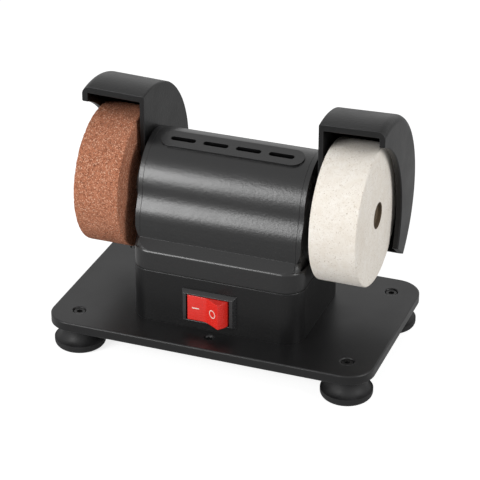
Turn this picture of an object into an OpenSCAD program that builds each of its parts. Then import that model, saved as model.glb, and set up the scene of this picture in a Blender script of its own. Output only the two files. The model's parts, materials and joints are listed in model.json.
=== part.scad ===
// Mini bench grinder: a stone wheel and a felt wheel on the two ends of one motor spindle.
// +X runs along the spindle to the felt wheel, +Y to the back, +Z up.
// The origin lies on the bench under the middle of the base plate.

/* [Base plate] */
// Width of the plate, along the spindle
plate_w = 300; // [290:1:380]
// Depth of the plate, front to back
plate_d = 180; // [176:1:240]
// Thickness of the plate
plate_t = 9; // [7:0.5:12]
// Radius of the plate's corners
plate_corner_r = 24; // [12:1:30]
// Edge break round the top and bottom of the plate
plate_bevel = 0.8; // [0.4:0.1:1.5]
// Radius of the two holes for bench screws
bench_hole_r = 3.25; // [2.5:0.05:4]
// Chamfer at the mouth of a bench hole
bench_hole_bevel = 1.5; // [0.5:0.1:2.5]
// Distance of a bench hole from the front or back edge
bench_hole_inset = 21; // [16:0.5:24]

/* [Feet] */
// Height of a foot under the plate
foot_h = 24; // [22:1:40]
// Largest diameter of a foot
foot_d = 46; // [40:1:50]
// Diameter of a foot where it meets the plate
foot_neck_d = 30; // [24:1:36]
// Radius of the rounded lower edge
foot_edge_r = 5; // [3:0.5:6]
// Height of the straight band above the rounded edge
foot_band_h = 3; // [1:0.5:5]
// Height of the straight neck under the plate
foot_neck_h = 4; // [2:0.5:6]
// Depth of the recess in the middle of the underside
foot_recess_h = 2; // [1:0.5:2.5]
// Distance of a foot's centre from the two nearest plate edges
foot_inset = 25; // [25:0.5:30]
// Diameter of the steel insert moulded into a foot
foot_insert_d = 12; // [10:0.5:14]
// Length of that insert
foot_insert_l = 15; // [12:0.5:16]
// Thread diameter of a foot screw
foot_screw_d = 6; // [5:0.5:8]
// Head diameter of a foot screw
foot_head_d = 10; // [9:0.5:13]
// Head height of a foot screw
foot_head_h = 4; // [3:0.25:4.5]
// Radial room round that head in the plate
foot_head_gap = 0.75; // [0.3:0.05:1.5]
// Depth of the pocket for that head
foot_pocket = 5; // [4.5:0.25:5.5]

/* [Housing base] */
// Width of the housing over its end covers
body_w = 152; // [144:1:156]
// Depth of the housing
base_d = 118; // [114:1:124]
// Height of the housing base
base_h = 50; // [48:1:54]
// Radius of the housing's vertical corners
base_corner_r = 18; // [16:0.5:20]
// Wall of the mouldings
wall = 3; // [2.5:0.1:3.5]
// Bevel on both edges of the seam
seam_bevel = 0.7; // [0.3:0.1:1.2]
// Height of the locating rim inside the seam
rim_h = 2.5; // [1.5:0.5:4]
// Thickness of that rim
rim_t = 2; // [1.5:0.1:3]
// Room between that rim and the upper bosses
rim_room = 0.5; // [0.3:0.1:1]
// Radius of the screw bosses in the corners
corner_boss_r = 6; // [5:0.25:6.5]
// Distance of a corner boss from the two nearest outer walls
corner_boss_inset = 11; // [10.5:0.25:12]

/* [Upper shell] */
// Height of the spindle's axis above the plate
axis_h = 109; // [106:1:114]
// Height of the straight wall from the seam to the shoulder
shoulder_h = 19; // [16:1:20]
// Room between the stator and the inside of the crown
stator_room = 0.5; // [0.4:0.1:2]
// Height of the crown's centre above the axis
crown_rise = 7; // [5:0.5:9]
// Radius of the hollow under the crown
waist_r = 34; // [28:1:40]
// Radius of the swell under the hollow
swell_r = 30; // [26:1:36]
// Slope where the crown turns into the hollow
waist_angle = 4; // [2:0.5:6]
// Slope where the hollow turns into the swell
swell_angle = 28; // [26:0.5:30]
// Slope where the swell turns into the flare
flare_angle = 8; // [6:0.5:10]

/* [Vent] */
// Slope of the raised vent panel's outward direction
vent_angle = 74; // [70:1:80]
// Length of the vent panel
vent_l = 131; // [126:1:134]
// Width of the vent panel
vent_w = 20; // [16:0.5:22]
// Height of the vent panel over the crown
vent_h = 1.2; // [0.8:0.1:1.6]
// Number of slots
vent_slots = 4; // [2:1:4]
// Length of a slot
slot_l = 23; // [16:0.5:26]
// Width of a slot
slot_w = 5; // [3:0.25:7]
// Distance from slot to slot
slot_pitch = 30; // [28:0.5:32]

/* [End covers] */
// Thickness of an end cover
cover_t = 4; // [3.5:0.25:5]
// Shadow gap between cover and shell
cover_gap = 0.5; // [0.3:0.1:1]
// Radius of the boss that holds a bearing
bearing_boss_r = 21; // [19:0.5:22]
// Length of the boss past the bearing
bearing_boss_over = 2; // [1:0.5:4]
// Thickness of the lip that stops the bearing
bearing_lip = 2; // [1.5:0.25:3]
// Radius of the hole that the flange sleeve turns in
cover_hole_r = 11; // [10.5:0.25:12]
// Length of the shell's screw bosses
cover_boss_l = 15; // [10:0.5:18]
// Radius of those bosses
cover_boss_r = 4.5; // [4:0.25:5]

/* [Small screws] */
// Thread diameter of the housing, cover, guard, cradle and clip screws
screw_d = 4; // [3.5:0.1:4.4]
// Head diameter
screw_head_d = 7; // [6.5:0.25:8]
// Head height
screw_head_h = 2.2; // [1.8:0.1:2.4]
// Radial room for a shank or a head
screw_gap = 0.2; // [0.1:0.05:0.3]

/* [Guards] */
// Gap between wheel and rim at the guard's plate
rim_gap = 18.5; // [15:0.5:22]
// Growth of the rim's radius from plate to lip
guard_draft = 1.5; // [1:0.5:4]
// Thickness of the rim
guard_wall = 5.5; // [4:0.5:8]
// Thickness of the guard's plate
guard_plate_t = 4; // [3.5:0.25:6]
// Height of the lugs between cover and guard
guard_stand_off = 3.25; // [2:0.25:5]
// Gap between the guard's plate and the end of the straight housing wall
guard_wall_gap = 0.5; // [0.3:0.05:1]
// Radius of a lug
lug_r = 7; // [6:0.25:7.5]
// Radius of the hole round the flange sleeve
guard_hole_r = 15; // [12:0.5:17]
// Distance of the guard's front edge ahead of the axis
guard_front = 17; // [14:0.5:22]
// Distance of the back end of the plate's lower edge behind the axis
guard_back = 22; // [18:0.5:26]
// Slope of the guard's lower end from there, under the horizontal
guard_end_angle = 36; // [30:1:42]
// Gap between wheel and lip
lip_gap = 4; // [3:0.5:8]
// Thickness of the lip
lip_t = 5; // [4:0.5:7]
// Radius of the lip's outer round
lip_round = 7; // [6:0.5:10]
// Bevel along the lip's inner edge
lip_bevel = 0.8; // [0.4:0.1:1.5]
// Radius of the crescent cut that opens the wheel's side
crescent_r = 92.5; // [88:0.5:96]
// Distance of that cut's centre ahead of the axis
crescent_front = 50; // [46:0.5:54]
// Distance of that cut's centre under the axis
crescent_drop = 14; // [10:0.5:18]

/* [Wheels] */
// Diameter of the wheels
wheel_d = 125; // [115:1:130]
// Width of the wheels
wheel_w = 42; // [32:1:44]
// Radius of the softened edges
wheel_edge_r = 1.5; // [0.8:0.1:3]
// Diameter of the bore
wheel_bore_d = 23; // [20:0.5:26]
// Recess of the hub in the bore
hub_recess = 3; // [1:0.5:5]
// Thickness of the web that closes the hub over the spindle's end
hub_web = 2.5; // [1.5:0.25:4]

/* [Spindle and bearings] */
// Diameter of the spindle in bearings and wheels
spindle_d = 12; // [11.5:0.25:12.5]
// Diameter between bearing and rotor
spindle_mid_d = 14; // [13.5:0.25:15]
// Diameter in the rotor
spindle_core_d = 16; // [15.5:0.25:18]
// Outer diameter of a bearing
bearing_d = 32; // [31:0.5:34]
// Width of a bearing
bearing_w = 10; // [9:0.5:11]
// Diameter of a bearing ball
ball_d = 5.95; // [5.5:0.05:6.2]
// Number of balls in a bearing
balls = 7; // [6:1:8]
// Half of a ball's play in its groove
ball_gap = 0.075; // [0.05:0.005:0.1]
// Diameter of the wheel flange
flange_d = 40; // [34:1:44]
// Thickness of the wheel flange
flange_t = 2.75; // [2:0.25:4]
// Diameter of the flange's sleeve
sleeve_d = 18; // [17:0.25:19]
// Gap between flange and guard
flange_gap = 0.5; // [0.4:0.1:1.5]

/* [Motor] */
// Diameter of the stator stack
stator_d = 76; // [72:0.5:80]
// Length of the stack
stack_l = 40; // [34:1:42]
// Diameter of the stator's bore
stator_bore_d = 45; // [42:0.5:46]
// Gap between rotor and stator
air_gap = 0.5; // [0.3:0.05:0.8]
// Number of stator slots
stator_slots = 12; // [8:2:16]
// Length of a winding head past the stack
winding_l = 13; // [10:0.5:14]
// Length of a rotor end ring
end_ring_l = 5; // [3:0.5:6]
// Diameter of the fan
fan_d = 60; // [50:1:64]
// Width of the fan
fan_w = 12; // [8:0.5:13]
// Number of fan blades
fan_blades = 8; // [6:1:12]
// Gap between winding head and fan
fan_gap = 3; // [2:0.5:6]

/* [Motor cradle] */
// Width of the cradle's foot
cradle_w = 46; // [42:1:50]
// Gap between the cradle's foot and the switch terminals
cradle_gap = 7; // [6:0.5:8]
// Sheet thickness of foot and webs
cradle_t = 3; // [2.5:0.25:4]
// Distance between the middles of the webs
cradle_pitch = 26; // [22:1:28]
// Half of the saddle's width at its upper ends
saddle_half = 31; // [26:0.5:32]

/* [Electrics] */
// Diameter of the capacitor
capacitor_d = 30; // [26:0.5:34]
// Height of the capacitor
capacitor_h = 44; // [36:1:46]
// Place of the capacitor along the housing
capacitor_x = 46; // [44:0.5:48]
// Place of the capacitor behind the axis
capacitor_y = 12; // [8:0.5:16]
// Thickness of its clip
clip_t = 1.5; // [1:0.25:2]
// Height of its clip
clip_h = 12; // [8:0.5:16]
// Length of the terminal block
terminal_l = 30; // [26:0.5:32]
// Depth of the terminal block
terminal_d = 18; // [16:0.5:20]
// Height of the terminal block
terminal_h = 14; // [10:0.5:16]
// Place of the terminal block along the housing
terminal_x = -48; // [-50:0.5:-46]
// Place of the terminal block behind the axis
terminal_y = 12; // [8:0.5:16]

/* [Cord gland] */
// Place of the gland along the housing
gland_x = 40; // [30:1:46]
// Height of the gland above the plate
gland_h = 20; // [18:0.5:24]
// Diameter of the gland's threaded shank
gland_d = 16; // [14:0.5:18]
// Diameter of the cord passage
gland_bore_d = 8; // [6:0.5:9]
// Width over flats of collar and locknut
gland_flats = 20; // [19:0.5:24]
// Thickness of collar and locknut
gland_nut_h = 5; // [4:0.5:7]
// Length of the domed cap
gland_cap_l = 13; // [10:0.5:16]

/* [Switch] */
// Place of the switch along the housing front
switch_x = -3.5; // [-10:0.5:10]
// Height of the switch's middle above the plate
switch_h = 23; // [20:0.5:26]
// Width of the bezel
bezel_w = 51; // [50:0.5:56]
// Height of the bezel
bezel_h = 32; // [31:0.5:36]
// Height of the bezel over the housing wall
bezel_t = 4.5; // [3:0.25:6]
// Slope of the bezel's sides, as an inset at its front
bezel_slope = 2.5; // [1:0.1:2.9]
// Width of the switch body behind the wall
switch_body_w = 46; // [45:0.5:48]
// Height of that body
switch_body_h = 28.6; // [28:0.1:30]
// Depth of that body behind the wall's outer face
switch_body_l = 23; // [22:0.5:26]
// Length of each half of the rocker's face
rocker_half_l = 17; // [14:0.25:17.5]
// Half of the rocker's travel, in degrees
rocker_tilt = 16; // [10:0.5:16]
// Height of the rocker
rocker_h = 24; // [20:0.25:24]
// Room round the rocker in its opening
rocker_gap = 0.5; // [0.4:0.05:0.8]
// Radius of the hollow between the rocker's halves
rocker_hollow_r = 12; // [6:0.5:16]
// Depth of the pivot behind the bezel's front
pivot_depth = 6; // [5:0.25:7]
// Diameter of the pivot pins
pivot_d = 4; // [3:0.25:5]
// Length of a pivot pin in the frame
pivot_l = 1.2; // [0.8:0.1:1.4]
// Running clearance of the pivot pins
pivot_gap = 0.05; // [0.02:0.01:0.09]
// Length of the tab terminals
tab_l = 9; // [6:0.5:10]

/* [Hidden] */
$fn = 96;
// Overlap that keeps cuts and joined solids clean
eps = 0.02;
// Radial room of pressed, glued and threaded seats
seat = 0.02;
// Length by which a cutting tool passes a face
over = 1;

// Heights from the bench
plate_z = foot_h;
top_z = plate_z + plate_t;
seam_z = top_z + base_h;
axis_z = top_z + axis_h;

// Stations along the spindle, from the middle out to the felt wheel
half_w = body_w / 2;
base_w = body_w + 2 * (guard_stand_off - guard_wall_gap);
cover_x = half_w - cover_t;
shell_x = cover_x - cover_gap;
bearing_x1 = cover_x - bearing_lip;
bearing_x0 = bearing_x1 - bearing_w;
guard_x0 = half_w + guard_stand_off;
guard_x1 = guard_x0 + guard_plate_t;
flange_x0 = guard_x1 + flange_gap;
wheel_x0 = flange_x0 + flange_t;
wheel_x1 = wheel_x0 + wheel_w;
hub_x1 = wheel_x1 - hub_recess;
hub_x0 = hub_x1 - hub_web;
spindle_x = hub_x0 - screw_gap;
lip_x0 = wheel_x1 + lip_gap;
lip_x1 = lip_x0 + lip_t;
core_x = stack_l / 2 + end_ring_l + over;
winding_x1 = stack_l / 2 + winding_l;
fan_x0 = winding_x1 + fan_gap;

// Radii about the spindle
crown_r = stator_d / 2 + stator_room + wall;
wheel_r = wheel_d / 2;
guard_inner_r = wheel_r + rim_gap;
guard_plate_r = guard_inner_r + guard_wall;
guard_lip_r = guard_plate_r + guard_draft;
rotor_r = stator_bore_d / 2 - air_gap;
ball_pitch_r = (spindle_d + bearing_d) / 4;
// Share of a ball's diameter between its pitch circle and each ring
land_share = 0.31;
ring_land = ball_d * land_share;

// Height of the shell's corner bosses, up to the underside of its shoulder
corner_boss_h = shoulder_h - wall + eps;

// Places of screws and bosses
foot_places = [for (sx = [-1, 1], sy = [-1, 1])
    [sx * (plate_w / 2 - foot_inset), sy * (plate_d / 2 - foot_inset)]];
bench_places = [for (sy = [-1, 1]) [0, sy * (plate_d / 2 - bench_hole_inset)]];
cradle_d = base_d - 2 * (switch_body_l + tab_l + cradle_gap);
corner_places = [for (sx = [-1, 1], sy = [-1, 1])
    [sx * (base_w / 2 - corner_boss_inset), sy * (base_d / 2 - corner_boss_inset)]];
cradle_places = [for (sx = [-1, 1], sy = [-1, 1])
    [sx * (cradle_w / 2 - screw_d), sy * (cradle_d / 2 - 1.5 * screw_d)]];

// Side outline of the housing in the plane across the spindle, [y, z] from the axis.
// It is a chain of tangent arcs: crown, hollow waist, swell and flare, down to the shoulder.
function slope_dir(t) = [-cos(t), sin(t)];
function arc(c, r, t0, t1, n) = [for (i = [1:n]) c + r * slope_dir(t0 + (t1 - t0) * i / n)];
shoulder_y = base_d / 2;
shoulder_z = base_h + shoulder_h - axis_h;
crown_c = [0, crown_rise];
waist_c = crown_c + (crown_r + waist_r) * slope_dir(waist_angle);
swell_c = waist_c - (waist_r + swell_r) * slope_dir(swell_angle);
swell_end = swell_c + swell_r * slope_dir(flare_angle);
flare_out = shoulder_y + swell_end[0];
flare_down = swell_end[1] - shoulder_z;
flare_end = 2 * atan(flare_out / flare_down) - flare_angle;
flare_r = flare_out / (cos(flare_angle) - cos(flare_end));
flare_c = swell_end + flare_r * slope_dir(flare_angle);
// Slope at which the flare, moved in by d, meets the straight wall moved in by d
function flare_stop(d) = acos((d - shoulder_y - flare_c[0]) / (flare_r + d));
function front_outline(d) = concat(
    arc(crown_c, crown_r - d, 90, waist_angle, 24),
    arc(waist_c, -waist_r - d, waist_angle, swell_angle, 7),
    arc(swell_c, swell_r - d, swell_angle, flare_angle, 6),
    arc(flare_c, -flare_r - d, flare_angle, flare_stop(d), 8));
function mirrored(points) = [for (i = [len(points) - 1:-1:0]) [-points[i][0], points[i][1]]];
// Half width of the flare at a height z from the axis
function flare_y(z) = -flare_c[0] - sqrt(flare_r * flare_r - pow(z - flare_c[1], 2));

// Screw places on the shell's ends, [y, z] from the axis
upper_boss_slope = 42;
lower_boss_rise = 16;
upper_boss = crown_c + (crown_r - wall - cover_boss_r / 2) * slope_dir(upper_boss_slope);
lower_boss_z = shoulder_z + lower_boss_rise;
lower_boss = [wall + cover_boss_r / 2 - flare_y(lower_boss_z), lower_boss_z];
cover_places = [for (p = [upper_boss, lower_boss], sy = [-1, 1]) [sy * p[0], p[1]]];

// Lugs of a guard, [y, z] from the axis, and the lower edge of its plate
lug_margin = 1.5;
lug_reach = crown_r - wall - lug_r - lug_margin;
back_lug_drop = 4;
lower_lug_rise = 10;
upper_lug = [0, crown_rise + lug_reach];
back_lug = [lug_reach, -back_lug_drop];
lower_lug = [0, shoulder_z + lower_lug_rise];
guard_places = [upper_lug, back_lug, lower_lug];
guard_low = lower_lug[1] - lug_r - lug_margin;

// Switch frame of reference: the outer face of the housing's front wall
front_y = -base_d / 2;
switch_z = top_z + switch_h;
bezel_y = front_y - bezel_t;
pivot_y = bezel_y + pivot_depth;
rocker_end = rocker_half_l * [cos(rocker_tilt), -sin(rocker_tilt)];
rocker_r = norm(rocker_end - [0, pivot_depth]);
opening_w = 2 * (rocker_r + rocker_gap);
opening_h = rocker_h + 2 * rocker_gap;
// Depth of the rocker behind its pivot, and of the hollow it swings in, as shares of its radius
rocker_back = rocker_r * 0.2;
cavity_depth = pivot_depth + rocker_r * 0.55;

// Shares of a screw head taken by its cross recess and by a hexagon socket
cross_share = 0.6;
cross_width = screw_d / 5;
socket_share = 0.58;

// Block with rounded vertical corners and bevelled edges below (b0) and above (b1)
module block(w, d, r, h, b0, b1) {
    section = function(half) [[b0 - half, 0], [half - b0, 0], [half, b0], [half, h - b1], [half - b1, h],
        [b1 - half, h], [-half, h - b1], [-half, b0]];
    rotate([90, 0, 90]) linear_extrude(w - 2 * r, center = true) polygon(section(d / 2));
    rotate([90, 0, 0]) linear_extrude(d - 2 * r, center = true) polygon(section(w / 2));
    for (sx = [-1, 1], sy = [-1, 1])
        translate([sx * (w / 2 - r), sy * (d / 2 - r), 0])
            rotate_extrude() polygon([[0, 0], [r - b0, 0], [r, b0], [r, h - b1], [r - b1, h], [0, h]]);
}

// Plan of the housing, moved in by d, from height z0 to z1
module housing_plan(d, z0, z1) {
    translate([0, 0, z0]) block(base_w - 2 * d, base_d - 2 * d, base_corner_r - d, z1 - z0, 0, 0);
}

// Housing outline, moved in by d, from station x0 to x1 and above the height low from the axis
module housing_body(d, x0, x1, low) {
    front = front_outline(d);
    side = concat(front, [[d - shoulder_y, low]]);
    translate([x0, 0, axis_z])
        rotate([90, 0, 90])
            linear_extrude(x1 - x0) polygon(concat(side, mirrored(side), [[0, crown_rise + crown_r - d]]));
}

// Solid of revolution about the spindle from [radius, x] points
module turned(points) {
    translate([0, 0, axis_z]) rotate([0, 90, 0]) rotate_extrude() polygon(points);
}

// Round bar along X at [y, z] from the spindle's axis
module bar_x(place, r, x0, x1) {
    translate([x0, place[0], axis_z + place[1]]) rotate([0, 90, 0]) cylinder(r = r, h = x1 - x0);
}

// Cone along X at [y, z] from the spindle's axis
module cone_x(place, r0, r1, x0, x1) {
    translate([x0, place[0], axis_z + place[1]]) rotate([0, 90, 0]) cylinder(r1 = r0, r2 = r1, h = x1 - x0);
}

// Copies for the felt wheel's side (1) and the stone's side (-1)
module on_side(side) {
    if (side > 0) children();
    else mirror([1, 0, 0]) children();
}

module base_plate() {
    color("#1c1c1c") difference() {
        translate([0, 0, plate_z])
            block(plate_w, plate_d, plate_corner_r, plate_t, plate_bevel, plate_bevel);
        for (p = foot_places) translate([p[0], p[1], plate_z]) {
            pocket_r = foot_head_d / 2 + foot_head_gap;
            translate([0, 0, -eps]) cylinder(d = foot_screw_d + 2 * screw_gap, h = plate_t);
            translate([0, 0, plate_t - foot_pocket]) cylinder(r = pocket_r, h = foot_pocket + eps);
            translate([0, 0, plate_t - plate_bevel])
                cylinder(r1 = pocket_r, r2 = pocket_r + plate_bevel + eps, h = plate_bevel + eps);
        }
        for (p = bench_places) translate([p[0], p[1], plate_z]) {
            translate([0, 0, -eps]) cylinder(r = bench_hole_r, h = plate_t + 2 * eps);
            translate([0, 0, plate_t - bench_hole_bevel])
                cylinder(
                    r1 = bench_hole_r,
                    r2 = bench_hole_r + bench_hole_bevel + eps,
                    h = bench_hole_bevel + eps);
        }
        for (p = corner_places) translate([p[0], p[1], plate_z - eps]) {
            cylinder(d = screw_d + 2 * screw_gap, h = plate_t + 2 * eps);
            cylinder(d = screw_head_d + 2 * screw_gap, h = screw_head_h + eps);
        }
        for (p = cradle_places) translate([p[0], p[1], plate_z - eps]) {
            cylinder(d = screw_d + 2 * screw_gap, h = plate_t + 2 * eps);
            cylinder(d = screw_head_d + 2 * screw_gap, h = screw_head_h + eps);
        }
        translate([clip_hole[0], clip_hole[1], plate_z - eps])
            cylinder(d = screw_d + 2 * seat, h = plate_t + 2 * eps);
    }
}

// Flared foot: straight neck under the plate, hollow flank, band and rounded lower edge
module rubber_feet() {
    flank_top = foot_h - foot_neck_h;
    flank_low = foot_edge_r + foot_band_h;
    flank = [for (i = [0:8]) let (a = 90 * i / 8)
        [foot_d / 2 - (foot_d - foot_neck_d) / 2 * sin(a), flank_top - (flank_top - flank_low) * cos(a)]];
    edge = [for (i = [0:6]) let (a = 15 * i)
        [foot_d / 2 - foot_edge_r * (1 - sin(a)), foot_edge_r * (1 - cos(a))]];
    color("#141414") for (p = foot_places) translate([p[0], p[1], 0]) difference() {
        rotate_extrude() polygon(concat([[0, 0]], edge, flank, [[foot_neck_d / 2, foot_h], [0, foot_h]]));
        translate([0, 0, foot_h - foot_insert_l - seat])
            cylinder(d = foot_insert_d + 2 * seat, h = foot_insert_l + over);
        translate([0, 0, -eps]) cylinder(d = foot_insert_d, h = foot_recess_h);
    }
}

// Blind threaded insert with a closed floor
insert_floor = 2;

module foot_inserts() {
    color("#8f9296") for (p = foot_places) translate([p[0], p[1], foot_h - foot_insert_l]) difference() {
        cylinder(d = foot_insert_d, h = foot_insert_l);
        translate([0, 0, insert_floor]) cylinder(d = foot_screw_d + 2 * seat, h = foot_insert_l);
    }
}

module foot_screws() {
    seat_z = top_z - foot_pocket;
    tip_z = foot_h - foot_insert_l + insert_floor + over;
    color("#3a3b3d") for (p = foot_places) translate([p[0], p[1], 0]) difference() {
        union() {
            translate([0, 0, tip_z]) cylinder(d = foot_screw_d, h = seat_z - tip_z + eps);
            translate([0, 0, seat_z]) cylinder(d = foot_head_d, h = foot_head_h);
        }
        translate([0, 0, seat_z + foot_head_h / 2])
            cylinder(d = foot_head_d * socket_share, h = foot_head_h, $fn = 6);
    }
}

// Corner bosses of the housing from z0 to z1
module corner_bosses(r, z0, z1) {
    for (p = corner_places) translate([p[0], p[1], z0]) cylinder(r = r, h = z1 - z0);
}

// Lower half of the housing: open box with a locating rim on its thickened edge, screw bosses in its corners
// and openings for the switch and the gland
module housing_base() {
    ledge_low = seam_z - 2 * wall;
    rim_top = seam_z + rim_h;
    color("#232323") difference() {
        union() {
            difference() {
                translate([0, 0, top_z]) block(base_w, base_d, base_corner_r, base_h, 0, seam_bevel);
                housing_plan(wall, top_z - over, seam_z + over);
            }
            difference() {
                housing_plan(wall - eps, ledge_low, seam_z);
                housing_plan(wall + seat + rim_t, ledge_low - over, seam_z + over);
            }
            difference() {
                housing_plan(wall + seat, seam_z - eps, rim_top);
                housing_plan(wall + seat + rim_t, ledge_low - over, rim_top + over);
                corner_bosses(corner_boss_r + rim_room, seam_z - over, rim_top + over);
            }
            corner_bosses(corner_boss_r, top_z, seam_z);
        }
        corner_bosses(screw_d / 2 + screw_gap, top_z - over, seam_z + over);
        translate([switch_x, front_y, switch_z])
            cube([switch_body_w + 2 * screw_gap, 4 * wall, switch_body_h + 2 * screw_gap], center = true);
        translate([gland_x, over - front_y, top_z + gland_h])
            rotate([90, 0, 0]) cylinder(d = gland_d + 2 * screw_gap, h = wall + 2 * over);
    }
}

// Vent panel frame: local z points out of the crown, local x along the spindle
module on_vent(h) {
    translate([0, 0, axis_z + crown_rise]) rotate([90 - vent_angle, 0, 0]) translate([0, 0, h]) children();
}

module obround(l, w) {
    square([l - w, w], center = true);
    for (s = [-1, 1]) translate([s * (l - w) / 2, 0]) circle(d = w);
}

// Upper half of the housing: straight wall with the S-shaped body on it, vent panel, screw bosses
// and two ribs that hold the stator down
module housing_shell() {
    ledge_z = axis_z + shoulder_z;
    color("#232323") difference() {
        union() {
            difference() {
                union() {
                    translate([0, 0, seam_z])
                        block(base_w, base_d, base_corner_r, ledge_z - seam_z, seam_bevel, 0);
                    intersection() {
                        housing_body(0, -shell_x, shell_x, shoulder_z - over);
                        housing_plan(0, ledge_z - over, axis_z + 2 * crown_r);
                    }
                    on_vent(crown_r - wall + over)
                        linear_extrude(wall - over + vent_h) obround(vent_l, vent_w);
                }
                housing_plan(wall, seam_z - over, ledge_z - wall);
                intersection() {
                    housing_body(wall, -half_w, half_w, shoulder_z - wall - over);
                    housing_plan(wall, ledge_z - wall - over, axis_z + 2 * crown_r);
                }
            }
            corner_bosses(corner_boss_r, seam_z, seam_z + corner_boss_h);
            for (p = cover_places, s = [1, -1])
                on_side(s) bar_x(p, cover_boss_r, cover_x - cover_boss_l, cover_x);
            for (a = [rib_angle, 180 - rib_angle]) stator_rib(a);
        }
        corner_bosses(screw_d / 2 + seat, seam_z - over, seam_z + corner_boss_h - wall);
        for (p = cover_places, s = [1, -1])
            on_side(s) bar_x(p, screw_d / 2 + seat, cover_x - cover_boss_l + 2 * over, cover_x + over);
        for (i = [0:vent_slots - 1])
            on_vent(crown_r - 2 * wall)
                translate([(i - (vent_slots - 1) / 2) * slot_pitch, 0, 0])
                    linear_extrude(3 * wall) obround(slot_l, slot_w);
    }
}

// Rib that holds the stator from above, at angle a from the horizontal
rib_angle = 50;

module stator_rib(a) {
    reach = crown_rise * sin(a) + sqrt(pow(crown_r - wall / 2, 2) - pow(crown_rise * cos(a), 2));
    low = stator_d / 2 + seat;
    translate([0, 0, axis_z]) rotate([a, 0, 0])
        translate([-stack_l / 2, low, -wall / 2]) cube([stack_l, reach - low, wall]);
}

// End cover: plate in the housing's outline with the bearing boss and screw seats
module end_cover() {
    sunk = screw_head_h + eps;
    difference() {
        union() {
            intersection() {
                housing_body(0, cover_x, half_w, shoulder_z + seat);
                housing_plan(0, axis_z + shoulder_z + seat, axis_z + 2 * crown_r);
            }
            bar_x([0, 0], bearing_boss_r, bearing_x0 - bearing_boss_over, cover_x + eps);
            for (p = guard_places) bar_x(p, screw_d, cover_x - 2 * screw_d, cover_x + eps);
        }
        bar_x([0, 0], cover_hole_r, bearing_x0 - 2 * bearing_boss_over, half_w + over);
        bar_x([0, 0], bearing_d / 2 + seat, bearing_x0 - 2 * bearing_boss_over, bearing_x1);
        for (p = cover_places) {
            bar_x(p, screw_d / 2 + screw_gap, cover_x - over, half_w + over);
            bar_x(p, screw_head_d / 2 + screw_gap, half_w - sunk, half_w + over);
        }
        for (p = guard_places) bar_x(p, screw_d / 2 + seat, cover_x - 3 * screw_d, half_w + over);
    }
}

module left_end_cover() {
    color("#262626") on_side(-1) end_cover();
}

module right_end_cover() {
    color("#262626") on_side(1) end_cover();
}

// Screw with a flat head, pointing up from its head at the origin
module pan_screw(l) {
    difference() {
        union() {
            cylinder(d = screw_head_d, h = screw_head_h);
            translate([0, 0, screw_head_h - eps]) cylinder(d = screw_d, h = l - screw_head_h);
        }
        for (a = [0, 90]) rotate(a) translate([0, 0, screw_head_h / 4])
            cube([screw_head_d * cross_share, cross_width, screw_head_h], center = true);
    }
}

module housing_screws() {
    color("#5a5c5e") for (p = corner_places)
        translate([p[0], p[1], plate_z]) pan_screw(seam_z - plate_z + corner_boss_h - wall - 2 * over);
}

module cradle_screws() {
    color("#5a5c5e") for (p = cradle_places)
        translate([p[0], p[1], plate_z]) pan_screw(plate_t + cradle_t);
}

module cover_screws() {
    color("#5a5c5e") for (p = cover_places, s = [1, -1]) on_side(s)
        translate([half_w, p[0], axis_z + p[1]]) rotate([0, -90, 0])
            pan_screw(cover_t + cover_boss_l - 3 * over);
}

// Guard: turned cup round the wheel, cut open at the front and below, with a crescent in its lip
module guard() {
    edge = 1;
    crescent = [-crescent_front, -crescent_drop];
    low_back = [guard_back, guard_low];
    end_tip = low_back + 2 * guard_lip_r * [cos(guard_end_angle), -sin(guard_end_angle)];
    round_c = [guard_lip_r - lip_round, lip_x1 - lip_round];
    rim_round = [for (i = [0:9]) let (a = 10 * i) round_c + lip_round * [cos(a), sin(a)]];
    reach = 2 * guard_lip_r;
    kept = [[-guard_front, reach], [-guard_front, guard_low], low_back, end_tip,
        [reach, end_tip[1]], [reach, reach]];
    difference() {
        union() {
            intersection() {
                turned(concat(
                    [[guard_hole_r, guard_x0], [guard_plate_r - edge, guard_x0],
                    [guard_plate_r, guard_x0 + edge]],
                    rim_round,
                    [[guard_hole_r, lip_x1], [guard_hole_r, lip_x0], [guard_lip_r - guard_wall, lip_x0],
                    [guard_inner_r, guard_x1], [guard_hole_r, guard_x1]]));
                translate([0, 0, axis_z]) rotate([90, 0, 90]) linear_extrude(lip_x1 + over) polygon(kept);
            }
            for (p = guard_places) bar_x(p, lug_r, half_w, guard_x0 + eps);
        }
        bar_x(crescent, crescent_r, (wheel_x1 + lip_x0) / 2, lip_x1 + over);
        cone_x(crescent, crescent_r, crescent_r + lip_bevel + eps, lip_x1 - lip_bevel, lip_x1 + eps);
        for (p = guard_places) {
            shank_r = screw_d / 2 + screw_gap;
            bar_x(p, shank_r, half_w - over, guard_x1 + over);
            cone_x(p, shank_r, screw_head_d / 2 + screw_gap + eps, guard_x1 - screw_head_h, guard_x1 + eps);
        }
    }
}

module left_guard() {
    color("#1e1e1e") on_side(-1) guard();
}

module right_guard() {
    color("#1e1e1e") on_side(1) guard();
}

module guard_screws() {
    tip = cover_x - 2 * screw_d + over;
    color("#5a5c5e") for (p = guard_places, s = [1, -1]) on_side(s) difference() {
        union() {
            bar_x(p, screw_d / 2, tip, guard_x1 - screw_head_h + eps);
            cone_x(p, screw_d / 2, screw_head_d / 2, guard_x1 - screw_head_h, guard_x1 - eps);
        }
        for (a = [0, 90]) translate([guard_x1, p[0], axis_z + p[1]]) rotate([a, 0, 0])
            cube([screw_head_h, screw_head_d * cross_share, cross_width], center = true);
    }
}

// Spindle with its steps, chamfered ends and centre drillings
end_bevel = 0.8;

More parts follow.
